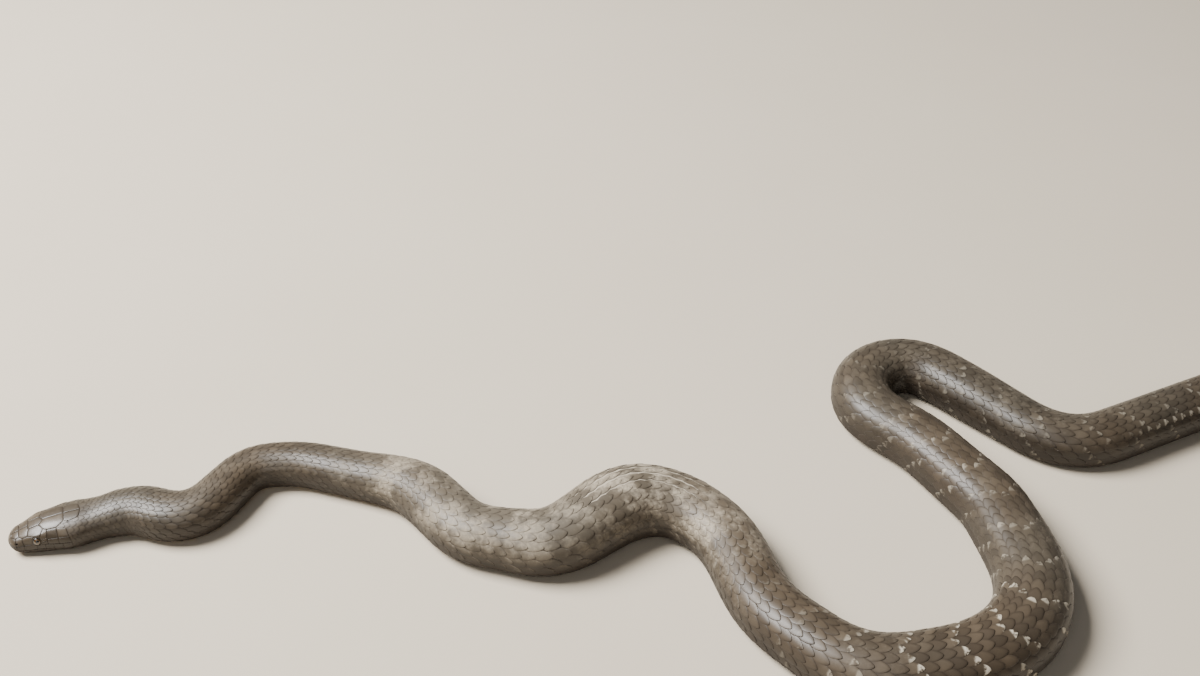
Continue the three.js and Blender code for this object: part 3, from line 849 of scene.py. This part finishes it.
# The plates' undersides get small patches of their own on the unwrap
corners, sizes, unwrap = [], [], []
for number, (points, _, _, flat, faces) in enumerate(shields):
    own_corners, own_sizes = corners_of(faces)
    below = np.repeat([len(points) - 1 in face for face in faces], own_sizes)[:, None]
    spare = (0.02 + 0.96 * number / len(shields), 0.01)
    corners.append(own_corners + number * len(points))
    sizes.append(own_sizes)
    unwrap.append(np.where(below, spare + 0.004 * (flat[own_corners] - flat[0]), flat[own_corners]))
shield_points, shield_where, shield_plate = [np.concatenate(parts) for parts in list(zip(*shields))[:3]]
head_shields = make_mesh(
    "head_shields", shield_points, np.concatenate(corners), np.concatenate(sizes), np.concatenate(unwrap),
    where=shield_where, plate=shield_plate, marks=np.zeros_like(shield_where))
head_shields.data.set_sharp_from_angle(angle=math.radians(SHIELD_SHARP_FROM))
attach(head_shields, "root")
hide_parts("head")

DARK_EDGE = (0.026, 0.018, 0.012, 1)
PALE_SPOT = (0.62, 0.55, 0.43, 1)
PAINTED_HOLLOW_SHADE = (0.006, 0.005, 0.004, 1)
PLATE_GLOSS = 0.38
COAT_ROUGHNESS = 0.22
SOIL_STARTS, SOIL_ENDS = (0.33, 0.48), (0.85, 1.0)


def plate_material(name, tones, edge_share, roughness, dusty, grain):
    """Finish of horny plates: glossy, darker towards rim and root, with pale marks where the bands run, and
    painted shade deep in the nostrils' cups.
    The flanks are duller than the back, and the length that lay in the soil is dusty."""
    material, tree, shader = new_material(name)
    along, share, _ = parts_of(tree, layer(tree, "where"))
    to_tip, _, to_rim = parts_of(tree, layer(tree, "plate"))
    banded, shaded, hollow_shade = parts_of(tree, layer(tree, "marks"))
    low = ramp(tree, sums(tree, "ABSOLUTE", share), 0.45, 0.72)
    rim = times(tree, ramp(tree, to_rim, 0.6, 1.0), scaled(tree, low, 0.35, edge_share))
    root = times(tree, ramp(tree, to_tip, 0.6, 0.1), 0.55)
    flecks = times(tree, ramp(tree, noise(tree, 170.0, 2.0, 0.6), 0.4, 0.58), ramp(tree, to_tip, 0.68, 0.8))
    tone = tone_here(tree, *tones)
    # The last cover is painted shade: near black deep in the nostrils' cups.
    for cover, colour in ((rim, DARK_EDGE), (root, DARK_EDGE), (times(tree, shaded, 0.6), DARK_EDGE),
                          (times(tree, flecks, banded), PALE_SPOT), (hollow_shade, PAINTED_HOLLOW_SHADE)):
        tone = blend(tree, cover, tone, colour)
    worn = scaled(tree, noise(tree, 30.0, 4.0), 0.24, roughness - 0.12)
    soiled = times(tree, ramp(tree, along, *SOIL_STARTS), ramp(tree, along, *SOIL_ENDS[::-1]))
    soiled = times(tree, scaled(tree, soiled, 0.75, 0.25), dusty)
    dusted = use_group(tree, dust, {"Color": tone, "Roughness": worn, "Amount": soiled})
    fill(shader, {
        "Base Color": dusted["Color"],
        "Roughness": scaled(tree, low, 0.36, dusted["Roughness"]),
        "Normal": bumps(tree, noise(tree, 1300.0, 4.0, 0.6), strength=grain, depth=0.0002),
        "Specular IOR Level": PLATE_GLOSS,
        "Coat Weight": scaled(tree, low, -0.1, 0.11),
        "Coat Roughness": COAT_ROUGHNESS,
    })
    return material


BACK = (0.088, 0.065, 0.042, 1)
# The flank colour is partly the snake's own darker flank and partly painted shade on the lower sides, which
# face away from the light.
FLANK_AND_PAINTED_SHADE = (0.024, 0.017, 0.011, 1)
BELLY = (0.36, 0.28, 0.16, 1)
COOL = (0.074, 0.063, 0.046, 1)
HORN = (BACK, FLANK_AND_PAINTED_SHADE, BELLY, COOL)

head_shields.data.materials.append(plate_material(
    "head_shield_horn", HORN, edge_share=0.5, roughness=0.36, dusty=0.2, grain=0.16))

# Eyes: round, under a clear fixed scale. The pupil is round and black in a bronze iris.
# Their angles are degrees off the line of sight, seen from the middle of the ball.
PUPIL_EDGE = 22
IRIS_EDGE = 41
CORNEA_BULGE, CORNEA_SPREAD = 0.3, 28
BALL_RADIUS = 0.995 * EYE_RADIUS
EYE_AROUND = 72
EYE_RINGS = 54
PUPIL_COLOUR = (0.002, 0.002, 0.002, 1)
IRIS_DARK, IRIS_LIGHT = (0.04, 0.022, 0.01, 1), (0.15, 0.084, 0.034, 1)
IRIS_INNER, IRIS_OUTER = (0.27, 0.165, 0.075, 1), (0.008, 0.006, 0.005, 1)


def eye_material():
    material, tree, shader = new_material("eye")
    off = parts_of(tree, layer(tree, "gaze"))[0]
    colour = blend(tree, noise(tree, 9.0, 4.0, 0.5, layer(tree, "iris")), IRIS_DARK, IRIS_LIGHT)
    colour = blend(tree, ramp(tree, off, PUPIL_EDGE + 4, PUPIL_EDGE + 1), colour, IRIS_INNER)
    colour = blend(tree, ramp(tree, off, IRIS_EDGE - 9, IRIS_EDGE), colour, IRIS_OUTER)
    colour = blend(tree, ramp(tree, off, PUPIL_EDGE, PUPIL_EDGE + 1.2), PUPIL_COLOUR, colour)
    fill(shader, {"Base Color": colour, "Roughness": 0.25, "Coat Weight": 1.0, "Coat Roughness": 0.03})
    return material


def full_turn(steps):
    """Angles of equal steps round a circle, in radians."""
    return np.arange(steps) * 2 * math.pi / steps


eye_finish = eye_material()
eye_turns = np.linspace(0.01, 1, EYE_RINGS) * math.pi * 0.999
down, way = np.meshgrid(eye_turns, full_turn(EYE_AROUND), indexing="ij")
reach = BALL_RADIUS + CORNEA_BULGE * np.exp(-(np.degrees(down) / CORNEA_SPREAD) ** 2)
off_axis = reach * np.sin(down)
ball = rows_of(reach * np.cos(down), off_axis * np.cos(way), off_axis * np.sin(way))
front_end = np.arange(EYE_AROUND)
back_end = front_end[::-1] + EYE_AROUND * (EYE_RINGS - 1)
eye_faces, eye_sizes = corners_of([*grid_faces(EYE_RINGS, EYE_AROUND, wrap=True), front_end, back_end])
for hand, side_name in ((1, "left"), (-1, "right")):
    low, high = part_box("eye_" + side_name)
    centre = np.array((low + high) / 2) / MM
    along = np.array([EYE_ALONG + 0.0])
    gaze = surface(along, hand * from_side(along, EYE_UP)[1], 0)[0] - centre
    gaze /= np.linalg.norm(gaze)
    level = np.cross(gaze, (0, 0, 1))
    level /= np.linalg.norm(level)
    raised = np.cross(level, gaze)
    eye = make_mesh(
        "eye_ball_" + side_name, centre + ball @ np.array([gaze, level, raised]), eye_faces, eye_sizes,
        gaze=rows_of(np.degrees(down), 0, 0), iris=rows_of(np.cos(way), np.sin(way), down * 0.25))
    eye.data.materials.append(eye_finish)
    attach(eye, "root")
    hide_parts("eye_" + side_name)

# Rims: the low fold of skin that closes round each eye, and the cup inside each nostril, painted near black
# the deeper it lies, as painted shade.
# Both are soft skin, grown together with the shields about them.
RIM_AROUND = 64
RIM_TONE = (0.05, 0.037, 0.024, 1)
RIM_SHARE = 0.5
RIM_OWN_TONE = 0.4
# Below this depth in a nostril's cup the skin is painted darker, as painted shade in the hollow.
CUP_SHADE_DEPTH = 0.05

# Profile of the eye's fold: distance from the middle of the eye, height over the outer form
FOLD_PROFILE = (
    (3.4, -0.5), (3.62, -0.05), (3.74, 0.14), (3.9, 0.26), (4.08, 0.3), (4.26, 0.24), (4.42, 0.05),
    (4.6, -0.5), (4.0, -0.9),
)

# Profile of the nostril's cup: share of the oval, height over the outer form
CUP_PROFILE = (
    (0.02, -1.9), (0.35, -1.8), (0.6, -1.35), (0.76, -0.65), (0.84, -0.15), (0.92, 0.12), (1.02, 0.2),
    (1.12, 0.12), (1.2, -0.3), (1.0, -1.3), (0.6, -2.2), (0.02, -2.4),
)

rim_points, rim_where, rim_hollow_shade, rim_faces = [], [], [], []
rim_turns = full_turn(RIM_AROUND)
rim_count = 0
for hand in (1, -1):
    for profile, is_cup in ((FOLD_PROFILE, False), (CUP_PROFILE, True)):
        size, out = np.array(profile).T[..., None]
        if is_cup:
            along, up = nostril_spot(rim_turns, size)
        else:
            along, up = EYE_ALONG + size * np.cos(rim_turns), EYE_UP + size * np.sin(rim_turns)
        around = grid_faces(len(profile) + 1, RIM_AROUND, wrap=True) % along.size
        rim_faces.append((around if hand < 0 else around[:, ::-1]) + rim_count)
        rim_count += along.size
        rim_points.append(surface(along, hand * from_side(along, up)[1], out).reshape(-1, 3))
        rim_where.append(rows_of(along * MM, hand * RIM_SHARE, RIM_OWN_TONE))
        rim_hollow_shade.append(rows_of(0 * along, 0, is_cup * np.clip(-out - CUP_SHADE_DEPTH, 0, 1)))
rims = make_mesh(
    "eye_and_nostril_rims", np.concatenate(rim_points), np.concatenate(rim_faces),
    where=np.concatenate(rim_where), marks=np.concatenate(rim_hollow_shade),
    plate=np.tile([MID_PLATE, 1, 0], (rim_count, 1)))
rims.data.materials.append(plate_material(
    "rim_skin", [RIM_TONE] * 4, edge_share=0.2, roughness=0.4, dusty=0.2, grain=0.5))
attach(rims, "root")
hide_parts("head")

# Scales: small horny plates in slanting rows, each rooted in the skin at its front
# and free at its back, where it lies over the next ones like a roof tile.
SCALE_PITCH = (
    (0, 5.2), (60, 5.6), (110, 6.8), (200, 8.8), (400, 11.5), (700, 12.8), (2600, 12.8),
    (2950, 11.5), (3010, 9.6), (3300, 9), (3600, 7.5), (3800, 5),
)

# How far round the belly scutes leave the scales, as a share of the arc from the back
BELLY_EDGE = (
    (0, 1), (86, 1), (100, 0.9), (130, 0.76), (200, 0.715), (3000, 0.71), (3060, 0.68), (3800, 0.66),
)

# Where each row of scales ends behind the snout, from the row on the back to the lowest one of a side
TO_TIP = LENGTH + 200
ROW_ENDS = (TO_TIP, TO_TIP, 3230, 3040, 250, 520, 3100, 3370, 3500, TO_TIP, 116, 106, 98, 92)
ROW_WIDTHS = (1.08, 1, 1, 1, 1, 1, 1, 1, 1.05, 1.15, 0.95, 0.9, 0.9, 0.9)
ROW_FADE = (10, -50)
ROW_MARGIN = 3
FIRST_SCALES = 26

# Outline of the head shields, laid out flat. A scale is left out where its middle lies inside
# and a point behind the middle, by this share of a pitch, does so too.
SHIELDS_OUTLINE = [
    (0, 0), nape, nape_back, nape_side, crown_side, temple_back, jaw_top, jaw_middle, lip_end,
    *jaw_edge[::-1], *chin_edge[3:], corner(from_below, 42, 0), (0, 80),
]
SHIELD_OVERLAP = 0.45

# A scale's half length is a share of the pitch, its half width a share of its row's width.
# It leans outwards by some degrees, and stretches a little with the skin outside a bend.
SCALE_HALF_LENGTH = 0.96
SCALE_HALF_WIDTH = 0.64
SCALE_LEAN, LEAN_END = 9, 0.72
SCALE_KEEPS_LENGTH = 0.7
LEAST_STRETCH = 0.3

# How much scales vary in length, in width, in lean by degrees, and in lift
LENGTHS_VARY, WIDTHS_VARY, LEANS_VARY, LIFTS_VARY = 0.05, 0.04, 1.5, 0.05

# Outline: a leaf, pointed more the nearer the power is to 1. Then the share of the way
# from the middle to the rim, and the drop there in thicknesses; the last ring is underneath.
SCALE_AROUND = 20
SCALE_OUTLINE = 1.55
SCALE_RINGS = ((0.5, 0), (0.8, 0.03), (0.94, 0.25), (1, 0.7), (0.97, 1.6))
SCALE_THICKNESS = 0.25
SCALE_FOOT_ALONG = -0.3

# Heights as shares of the scales' depth: the root, the rise from root to tip, the dome across
SCALE_ROOT_LEVEL, SCALE_TILT, SCALE_DOME = 0.12, 0.66, 0.22
HIGHEST_SCALE = 1.02
SCALE_FOOT = -1.4

# Where the body is at its fullest, the rows of scales on the back and the left flank stand apart:
# by this share of their width
SPREAD = ((0, 0), (650, 0), (735, 0.31), (815, 0.31), (880, 0), (3800, 0))
SPREAD_SIDE = (-0.2, 0)

# Pale cross-bands: every so many rows, by how clear they are along the body, down each side to BAND_END
BAND_ROWS = 4
BAND_STRENGTH = (
    (0, 0.03), (1000, 0.1), (1090, 0.5), (1150, 0.95), (1270, 0.95), (1340, 0.3), (1500, 0.32),
    (1700, 0.15), (2000, 0.25), (3800, 0.35),
)
BAND_END = 0.66
BAND_VARIES = (0.55, 1.15)
BESIDE_BANDS = 0.5

# Fine pale ticks on the tips of one row of each flank, over a short stretch
TICKED_ROW = 3
TICKED_STRETCH = (2030, 2080, 2210, 2260)
TICKS = 0.5

# Sizes of the patches of a scale's top and underside on the unwrap, and how far they lie apart
PATCH, UNDERSIDE_PATCH, UNDERSIDE_SHIFT = 0.004, 0.0014, 0.0072

lattice_places = np.arange(LENGTH + 1.0)
rows_passed = np.concatenate([[0], np.cumsum(1 / look_up(SCALE_PITCH, lattice_places[:-1] + 0.5))])
belly_edge = look_up(BELLY_EDGE, lattice_places)
row_presence = [smooth_step(lattice_places, *np.add(end, ROW_FADE)) for end in ROW_ENDS]
row_presence = np.array(row_presence)
row_spans = row_presence * np.array(ROW_WIDTHS)[:, None]
row_outer = row_spans.cumsum(axis=0) - row_spans[0] / 2
row_middles = (row_outer - row_spans / 2) / row_outer[-1] * belly_edge
row_middles[0] = 0
row_spans = row_spans / row_outer[-1] * belly_edge
row_phase = (row_presence.cumsum(axis=0) - row_presence[0]) / 2


def bend_stretch(distance, share):
    """Length of the surface there for each length of the middle line: above 1 outside a bend."""
    turn = heading(distance + 0.5) - heading(distance - 0.5)
    side, _ = on_section(distance, angle_at(distance, share))
    return np.maximum(1 - turn * side, LEAST_STRETCH)


def inside(along, arc, outline):
    """Whether points lie inside an outline, by how often a line from them crosses it."""
    crossed = np.zeros(len(along), bool)
    for (a, b), (c, d) in zip(outline, outline[1:] + outline[:1]):
        spans = (b > arc) != (d > arc)
        crossed ^= spans & (along < a + (arc - b) * (c - a) / (d - b if d != b else 1))
    return crossed


# Every scale: its distance, share of the arc, row, band number and width
scales = []
for row, end in enumerate(ROW_ENDS):
    passed = rows_passed + row_phase[row]
    numbers = np.arange(math.ceil(passed[FIRST_SCALES]), math.floor(passed[-1]))
    distance = np.interp(numbers, passed, lattice_places)
    kept = distance < end - ROW_MARGIN
    numbers, distance = numbers[kept], distance[kept]
    share = np.interp(distance, lattice_places, row_middles[row])
    width = np.interp(distance, lattice_places, row_spans[row]) * half_round(distance)
    for hand in ((1, -1) if row else (0,)):
        scales.append(rows_of(distance, hand * share, row, numbers - row, width))
scales = np.concatenate(scales)
scale_arc = np.abs(scales[:, 1]) * half_round(scales[:, 0])
scale_back = scales[:, 0] + SHIELD_OVERLAP * look_up(SCALE_PITCH, scales[:, 0])
under_shields = [inside(along, scale_arc, SHIELDS_OUTLINE) for along in (scales[:, 0], scale_back)]
scales = scales[~np.all(under_shields, axis=0) & (scales[:, 0] < SKIN_END)]

# One scale: root to tip, across, share of the way to the rim and drop
scale_turns = full_turn(SCALE_AROUND)
scale_x, scale_y = [np.sign(way) * np.abs(way) ** (2 / SCALE_OUTLINE)
                    for way in (np.cos(scale_turns), np.sin(scale_turns))]
scale_form = [rows_of(scale_x * share, scale_y * share, share, drop) for share, drop in SCALE_RINGS]
scale_form = np.concatenate([[[0, 0, 0, 0]], *scale_form, [[SCALE_FOOT_ALONG, 0, 0, 0]]])
scale_faces, scale_sizes = corners_of(disc_faces(len(SCALE_RINGS), SCALE_AROUND))
scale_below = np.repeat(np.arange(len(scale_sizes)) >= len(scale_sizes) - 2 * SCALE_AROUND, scale_sizes)
scale_random = np.random.default_rng(23)


def scale_piece(name, chosen, first, last):
    """One piece of scales along a stretch of the body."""
    distance, share, row, number, width = chosen.T[..., None]
    many = len(chosen)
    x, y, rim, drop = scale_form.T
    half_length = SCALE_HALF_LENGTH * look_up(SCALE_PITCH, distance)
    half_length *= 1 + LENGTHS_VARY * scale_random.standard_normal((many, 1))
    half_width = SCALE_HALF_WIDTH * width
    half_width *= 1 - look_up(SPREAD, distance) * smooth_step(share, *SPREAD_SIDE)
    half_width *= 1 + WIDTHS_VARY * scale_random.standard_normal((many, 1))
    lean = SCALE_LEAN * np.sin(np.pi * np.clip(np.abs(share) / LEAN_END, 0, 1)) * np.sign(share)
    lean = np.radians(lean + LEANS_VARY * scale_random.standard_normal((many, 1)))
    ahead = half_length * x * np.cos(lean) - half_width * y * np.sin(lean)
    aside = half_length * x * np.sin(lean) + half_width * y * np.cos(lean)
    at = np.clip(distance + ahead / bend_stretch(distance, share) ** SCALE_KEEPS_LENGTH, 0.5, LENGTH)
    around = share + aside / half_round(distance)
    lift = SCALE_ROOT_LEVEL + SCALE_TILT * (x + 1) / 2 + SCALE_DOME * (1 - y ** 2)
    lift = lift * (1 + LIFTS_VARY * scale_random.standard_normal((many, 1)))
    out = np.minimum(lift, HIGHEST_SCALE) - 1 - drop * SCALE_THICKNESS
    out[:, -1] = SCALE_FOOT
    points = surface(at, angle_at(at, around), out * scale_depth(distance))

    where = rows_of(at * MM, around, scale_random.random((many, 1)))
    strength = look_up(BAND_STRENGTH, distance)
    phase = np.mod(number, BAND_ROWS)
    band = (phase == 0) * (np.abs(share) < BAND_END) * strength
    band *= scale_random.uniform(*BAND_VARIES, (many, 1))
    band = np.maximum(band, (row == TICKED_ROW) * np.interp(distance, TICKED_STRETCH, (0, TICKS, TICKS, 0)))
    shaded = np.isin(phase, (1, BAND_ROWS - 1)) * strength * BESIDE_BANDS

    corners = scale_faces + np.arange(many)[:, None] * len(scale_form)
    shrink = np.where(scale_below, UNDERSIDE_PATCH, PATCH) / 2
    u = 0.02 + 0.96 * (distance - first) / (last - first)
    u = u + x[scale_faces] * shrink + UNDERSIDE_SHIFT * scale_below
    v = 0.5 + 0.48 * share + y[scale_faces] * shrink
    plate = np.tile(rows_of((x + 1) / 2, y, rim), (many, 1))
    return make_mesh(name, points, corners, np.tile(scale_sizes, many), rows_of(u, v),
                     where=where, plate=plate, marks=rows_of(band, shaded, 0 * at))


back_horn = plate_material(
    "back_scale_horn", HORN, edge_share=0.4, roughness=0.44, dusty=0.55, grain=0.12)

SCALE_STRETCHES = (
    ("scales_neck", 0, 530, ("neck", "body_1")),
    ("scales_front", 530, 1225, ("body_2", "body_3")),
    ("scales_middle", 1225, 1725, ("body_4", "body_5")),
    ("scales_rear", 1725, 2300, ("body_6", "body_7")),
    ("scales_hind", 2300, 3000, ("body_8", "body_9")),
    ("scales_tail", 3000, LENGTH, ("tail_1", "tail_2")),
)
for name, first, last, covered in SCALE_STRETCHES:
    chosen = scales[(scales[:, 0] >= first) & (scales[:, 0] < last)]
    piece = scale_piece(name, chosen, first, last)
    piece.data.materials.append(back_horn)
    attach(piece, "root")
    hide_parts(*covered)

# Tail spine: the pointed cap on the tip of the tail, one piece of solid horn.
# It grows out of the last ring of skin, and its front lies under the last scales.
SPINE_LENGTH = 15
SPINE_RINGS = 16
SPINE_AROUND = 32
SPINE_SLIMNESS = 0.93
SPINE_FULLNESS, SPINE_BLUNTNESS = 2.4, 0.6
SPINE_LEVEL = 0.35
SPINE_OWN_TONE = 0.3

spine_gone = np.sin(np.linspace(0, 1, SPINE_RINGS) * math.pi / 2)
spine_turns = np.linspace(-180, 180, SPINE_AROUND, endpoint=False)
spine_distance, spine_turn = np.meshgrid(
    LENGTH - SPINE_LENGTH * (1 - spine_gone), spine_turns, indexing="ij")
spine_side, spine_up = on_section(spine_distance, spine_turn)
_, spine_top, spine_bottom, *_ = section(spine_distance)
spine_level = spine_bottom + SPINE_LEVEL * (spine_top - spine_bottom)
narrowing = SPINE_SLIMNESS * np.maximum(0, 1 - spine_gone ** SPINE_FULLNESS)[:, None] ** SPINE_BLUNTNESS
spine_up = spine_level + (spine_up - spine_level) * narrowing
spine_points = place(spine_distance, spine_side * narrowing, spine_up)
spine_faces = [*grid_faces(SPINE_RINGS, SPINE_AROUND, wrap=True), np.arange(SPINE_AROUND)]
spine_where = rows_of(spine_distance * MM, spine_turn / 180, SPINE_OWN_TONE)
spine = make_mesh("tail_spine", spine_points, *corners_of(spine_faces), where=spine_where,
                  plate=np.tile([MID_PLATE, 1, 0], (len(spine_where), 1)), marks=np.zeros_like(spine_where))
spine.data.materials.append(back_horn)
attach(spine, "root")
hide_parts("tail_2")

# Belly scutes: one broad plate to each slanting row, from flank to flank, with a free hind edge.
# Behind the vent they are narrower, and most are split down the middle into pairs.
FIRST_SCUTE = 88
LAST_SCUTE = LENGTH - 11
PAIRED_FROM = 3140
PAIR_GAP = 0.012
SCUTE_LAP = 1.32
SCUTE_ENDS_LOWER, SCUTE_ENDS_SHORTER, SCUTE_ENDS_FORWARD = 0.25, 0.25, 0.28
SCUTE_OVERLAP = 0.035
SCUTE_THICKNESS = 0.35
SCUTE_ACROSS = 20
SCUTE_ROUNDNESS = 6

# From the front edge to the hind edge: share of the length, and height as a share of the scales' depth
SCUTE_PROFILE = ((0, 0.1), (0.35, 0.46), (0.7, 0.82), (0.94, 1), (1, 0.86))

# Middle and half height of each band of the unwrap: the top faces, the undersides, the feet of the walls
SCUTE_PATCHES = ((0.5, 0.42), (0.97, 0.02), (0.973, 0.02))

# The scutes keep step with this row of scales, a part of a pitch behind it
ROW_BESIDE = 9
BEHIND_ROW = 0.25

# Hind edge of each scute, and how far it runs: from 1 on the left to -1 on the right
passed = rows_passed + row_phase[ROW_BESIDE] + BEHIND_ROW
numbers = np.arange(math.ceil(passed[FIRST_SCUTE]), math.floor(passed[LAST_SCUTE]))
scute_spans = [(hind, *span) for hind in np.interp(numbers, passed, lattice_places)
               for span in (((1, -1),) if hind < PAIRED_FROM else ((1, PAIR_GAP), (-PAIR_GAP, -1)))]
hind, left_end, right_end = np.array(scute_spans).T[..., None, None, None]
g = left_end + (right_end - left_end) * np.linspace(0, 1, SCUTE_ACROSS)
t, lift = np.array(SCUTE_PROFILE).T[..., None]
pitch = look_up(SCALE_PITCH, hind)
ends = np.abs(g) ** SCUTE_ROUNDNESS
before = (1 - t) * (1 - SCUTE_ENDS_SHORTER * ends) + SCUTE_ENDS_FORWARD * ends
at = np.minimum(hind - SCUTE_LAP * pitch * before, LENGTH)
edge = np.interp(hind, lattice_places, belly_edge) - SCUTE_OVERLAP
share = np.where(g < 0, -1, 1) * (1 - (1 - edge) * np.abs(g))
underside = np.array([0, SCUTE_THICKNESS])[:, None, None]
out = scale_depth(at) * (lift - SCUTE_ENDS_LOWER * ends - 1 - underside)
scute_tone = np.random.default_rng(31).random(hind.shape)
scute_where = rows_of(at * MM, 1, scute_tone + 0 * out)
scute_plate = rows_of(t, 1, np.maximum(t ** 3, np.abs(g) ** 8) + 0 * out)

# Faces of one scute: its top, its underside and the walls between them
rows, count = len(SCUTE_PROFILE), len(SCUTE_PROFILE) * SCUTE_ACROSS
top = grid_faces(rows, SCUTE_ACROSS)
grid = np.arange(count).reshape(rows, SCUTE_ACROSS)
loop = np.concatenate([grid[0], grid[1:, -1], grid[-1, -2::-1], grid[-2:0:-1, 0]])
after = np.roll(loop, -1)
walls = np.stack([loop, after, after + count, loop + count], -1)
faces = np.concatenate([top, top[:, ::-1] + count, walls])
corners = faces.ravel() + 2 * count * np.arange(len(hind))[:, None]
middles, halves = np.array(SCUTE_PATCHES).T[..., None, None]
u = 0.01 + 0.98 * (hind + (t - 1) * 0.9 * pitch) / LENGTH
spots = rows_of(u, middles + halves * g).reshape(len(hind), -1, 2)
unwrap = spots[:, np.concatenate([top, top[:, ::-1] + count, walls + count]).ravel()]
scutes = make_mesh("belly_scutes", surface(at, angle_at(at, share), out), corners, unwrap=unwrap,
                   where=scute_where, plate=scute_plate, marks=np.zeros_like(scute_where))
scutes.data.materials.append(plate_material(
    "belly_scute_horn", (BELLY, BELLY, BELLY, COOL), edge_share=0.35, roughness=0.34, dusty=0.3, grain=0.1))
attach(scutes, "root")
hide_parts(*[name for _, _, _, covered in SCALE_STRETCHES for name in covered])

# Floor: a plain pale surface under the snake, matte and faintly cloudy.
# It runs on far enough that its rim stays out of the picture.
FLOOR_HALF = 30
FLOOR_DARK, FLOOR_LIGHT = (0.66, 0.57, 0.44, 1), (0.7, 0.61, 0.48, 1)

floor_mesh = bpy.data.meshes.new("floor")
floor_corners = [(x * FLOOR_HALF, y * FLOOR_HALF, 0) for x, y in ((-1, -1), (1, -1), (1, 1), (-1, 1))]
floor_mesh.from_pydata(floor_corners, [], [(0, 1, 2, 3)])
floor = bpy.data.objects.new("floor", floor_mesh)
bpy.context.scene.collection.objects.link(floor)
floor_finish, floor_tree, floor_shader = new_material("floor_matte")
floor_tone = blend(floor_tree, noise(floor_tree, 3.0), FLOOR_DARK, FLOOR_LIGHT)
fill(floor_shader, {"Base Color": floor_tone, "Roughness": 0.9})
floor_mesh.materials.append(floor_finish)

# Light: a large soft box high at the left, beyond the head, a weak one behind the camera's left,
# and a faint cool room. Each lamp has its name, place, size in metres and power in watts.
LIGHTS = (
    ("key", (-3.2, 0.5, 3.5), 2.3, 570),
    ("fill", (-1.0, -2.8, 2.4), 2, 20),
)
LIGHTS_AIM = (-0.2, 0, 0)
ROOM_COLOUR = (0.9, 0.92, 1, 1)
ROOM_STRENGTH = 0.09

for name, spot, size, power in LIGHTS:
    lamp = bpy.data.lights.new(name, "AREA")
    lamp.size = size
    lamp.energy = power
    box = bpy.data.objects.new(name, lamp)
    box.location = spot
    box.rotation_euler = (Vector(LIGHTS_AIM) - box.location).to_track_quat("-Z", "Y").to_euler()
    bpy.context.scene.collection.objects.link(box)
world = bpy.data.worlds.new("room")
bpy.context.scene.world = world
world.use_nodes = True
fill(world.node_tree.nodes["Background"], {"Color": ROOM_COLOUR, "Strength": ROOM_STRENGTH})
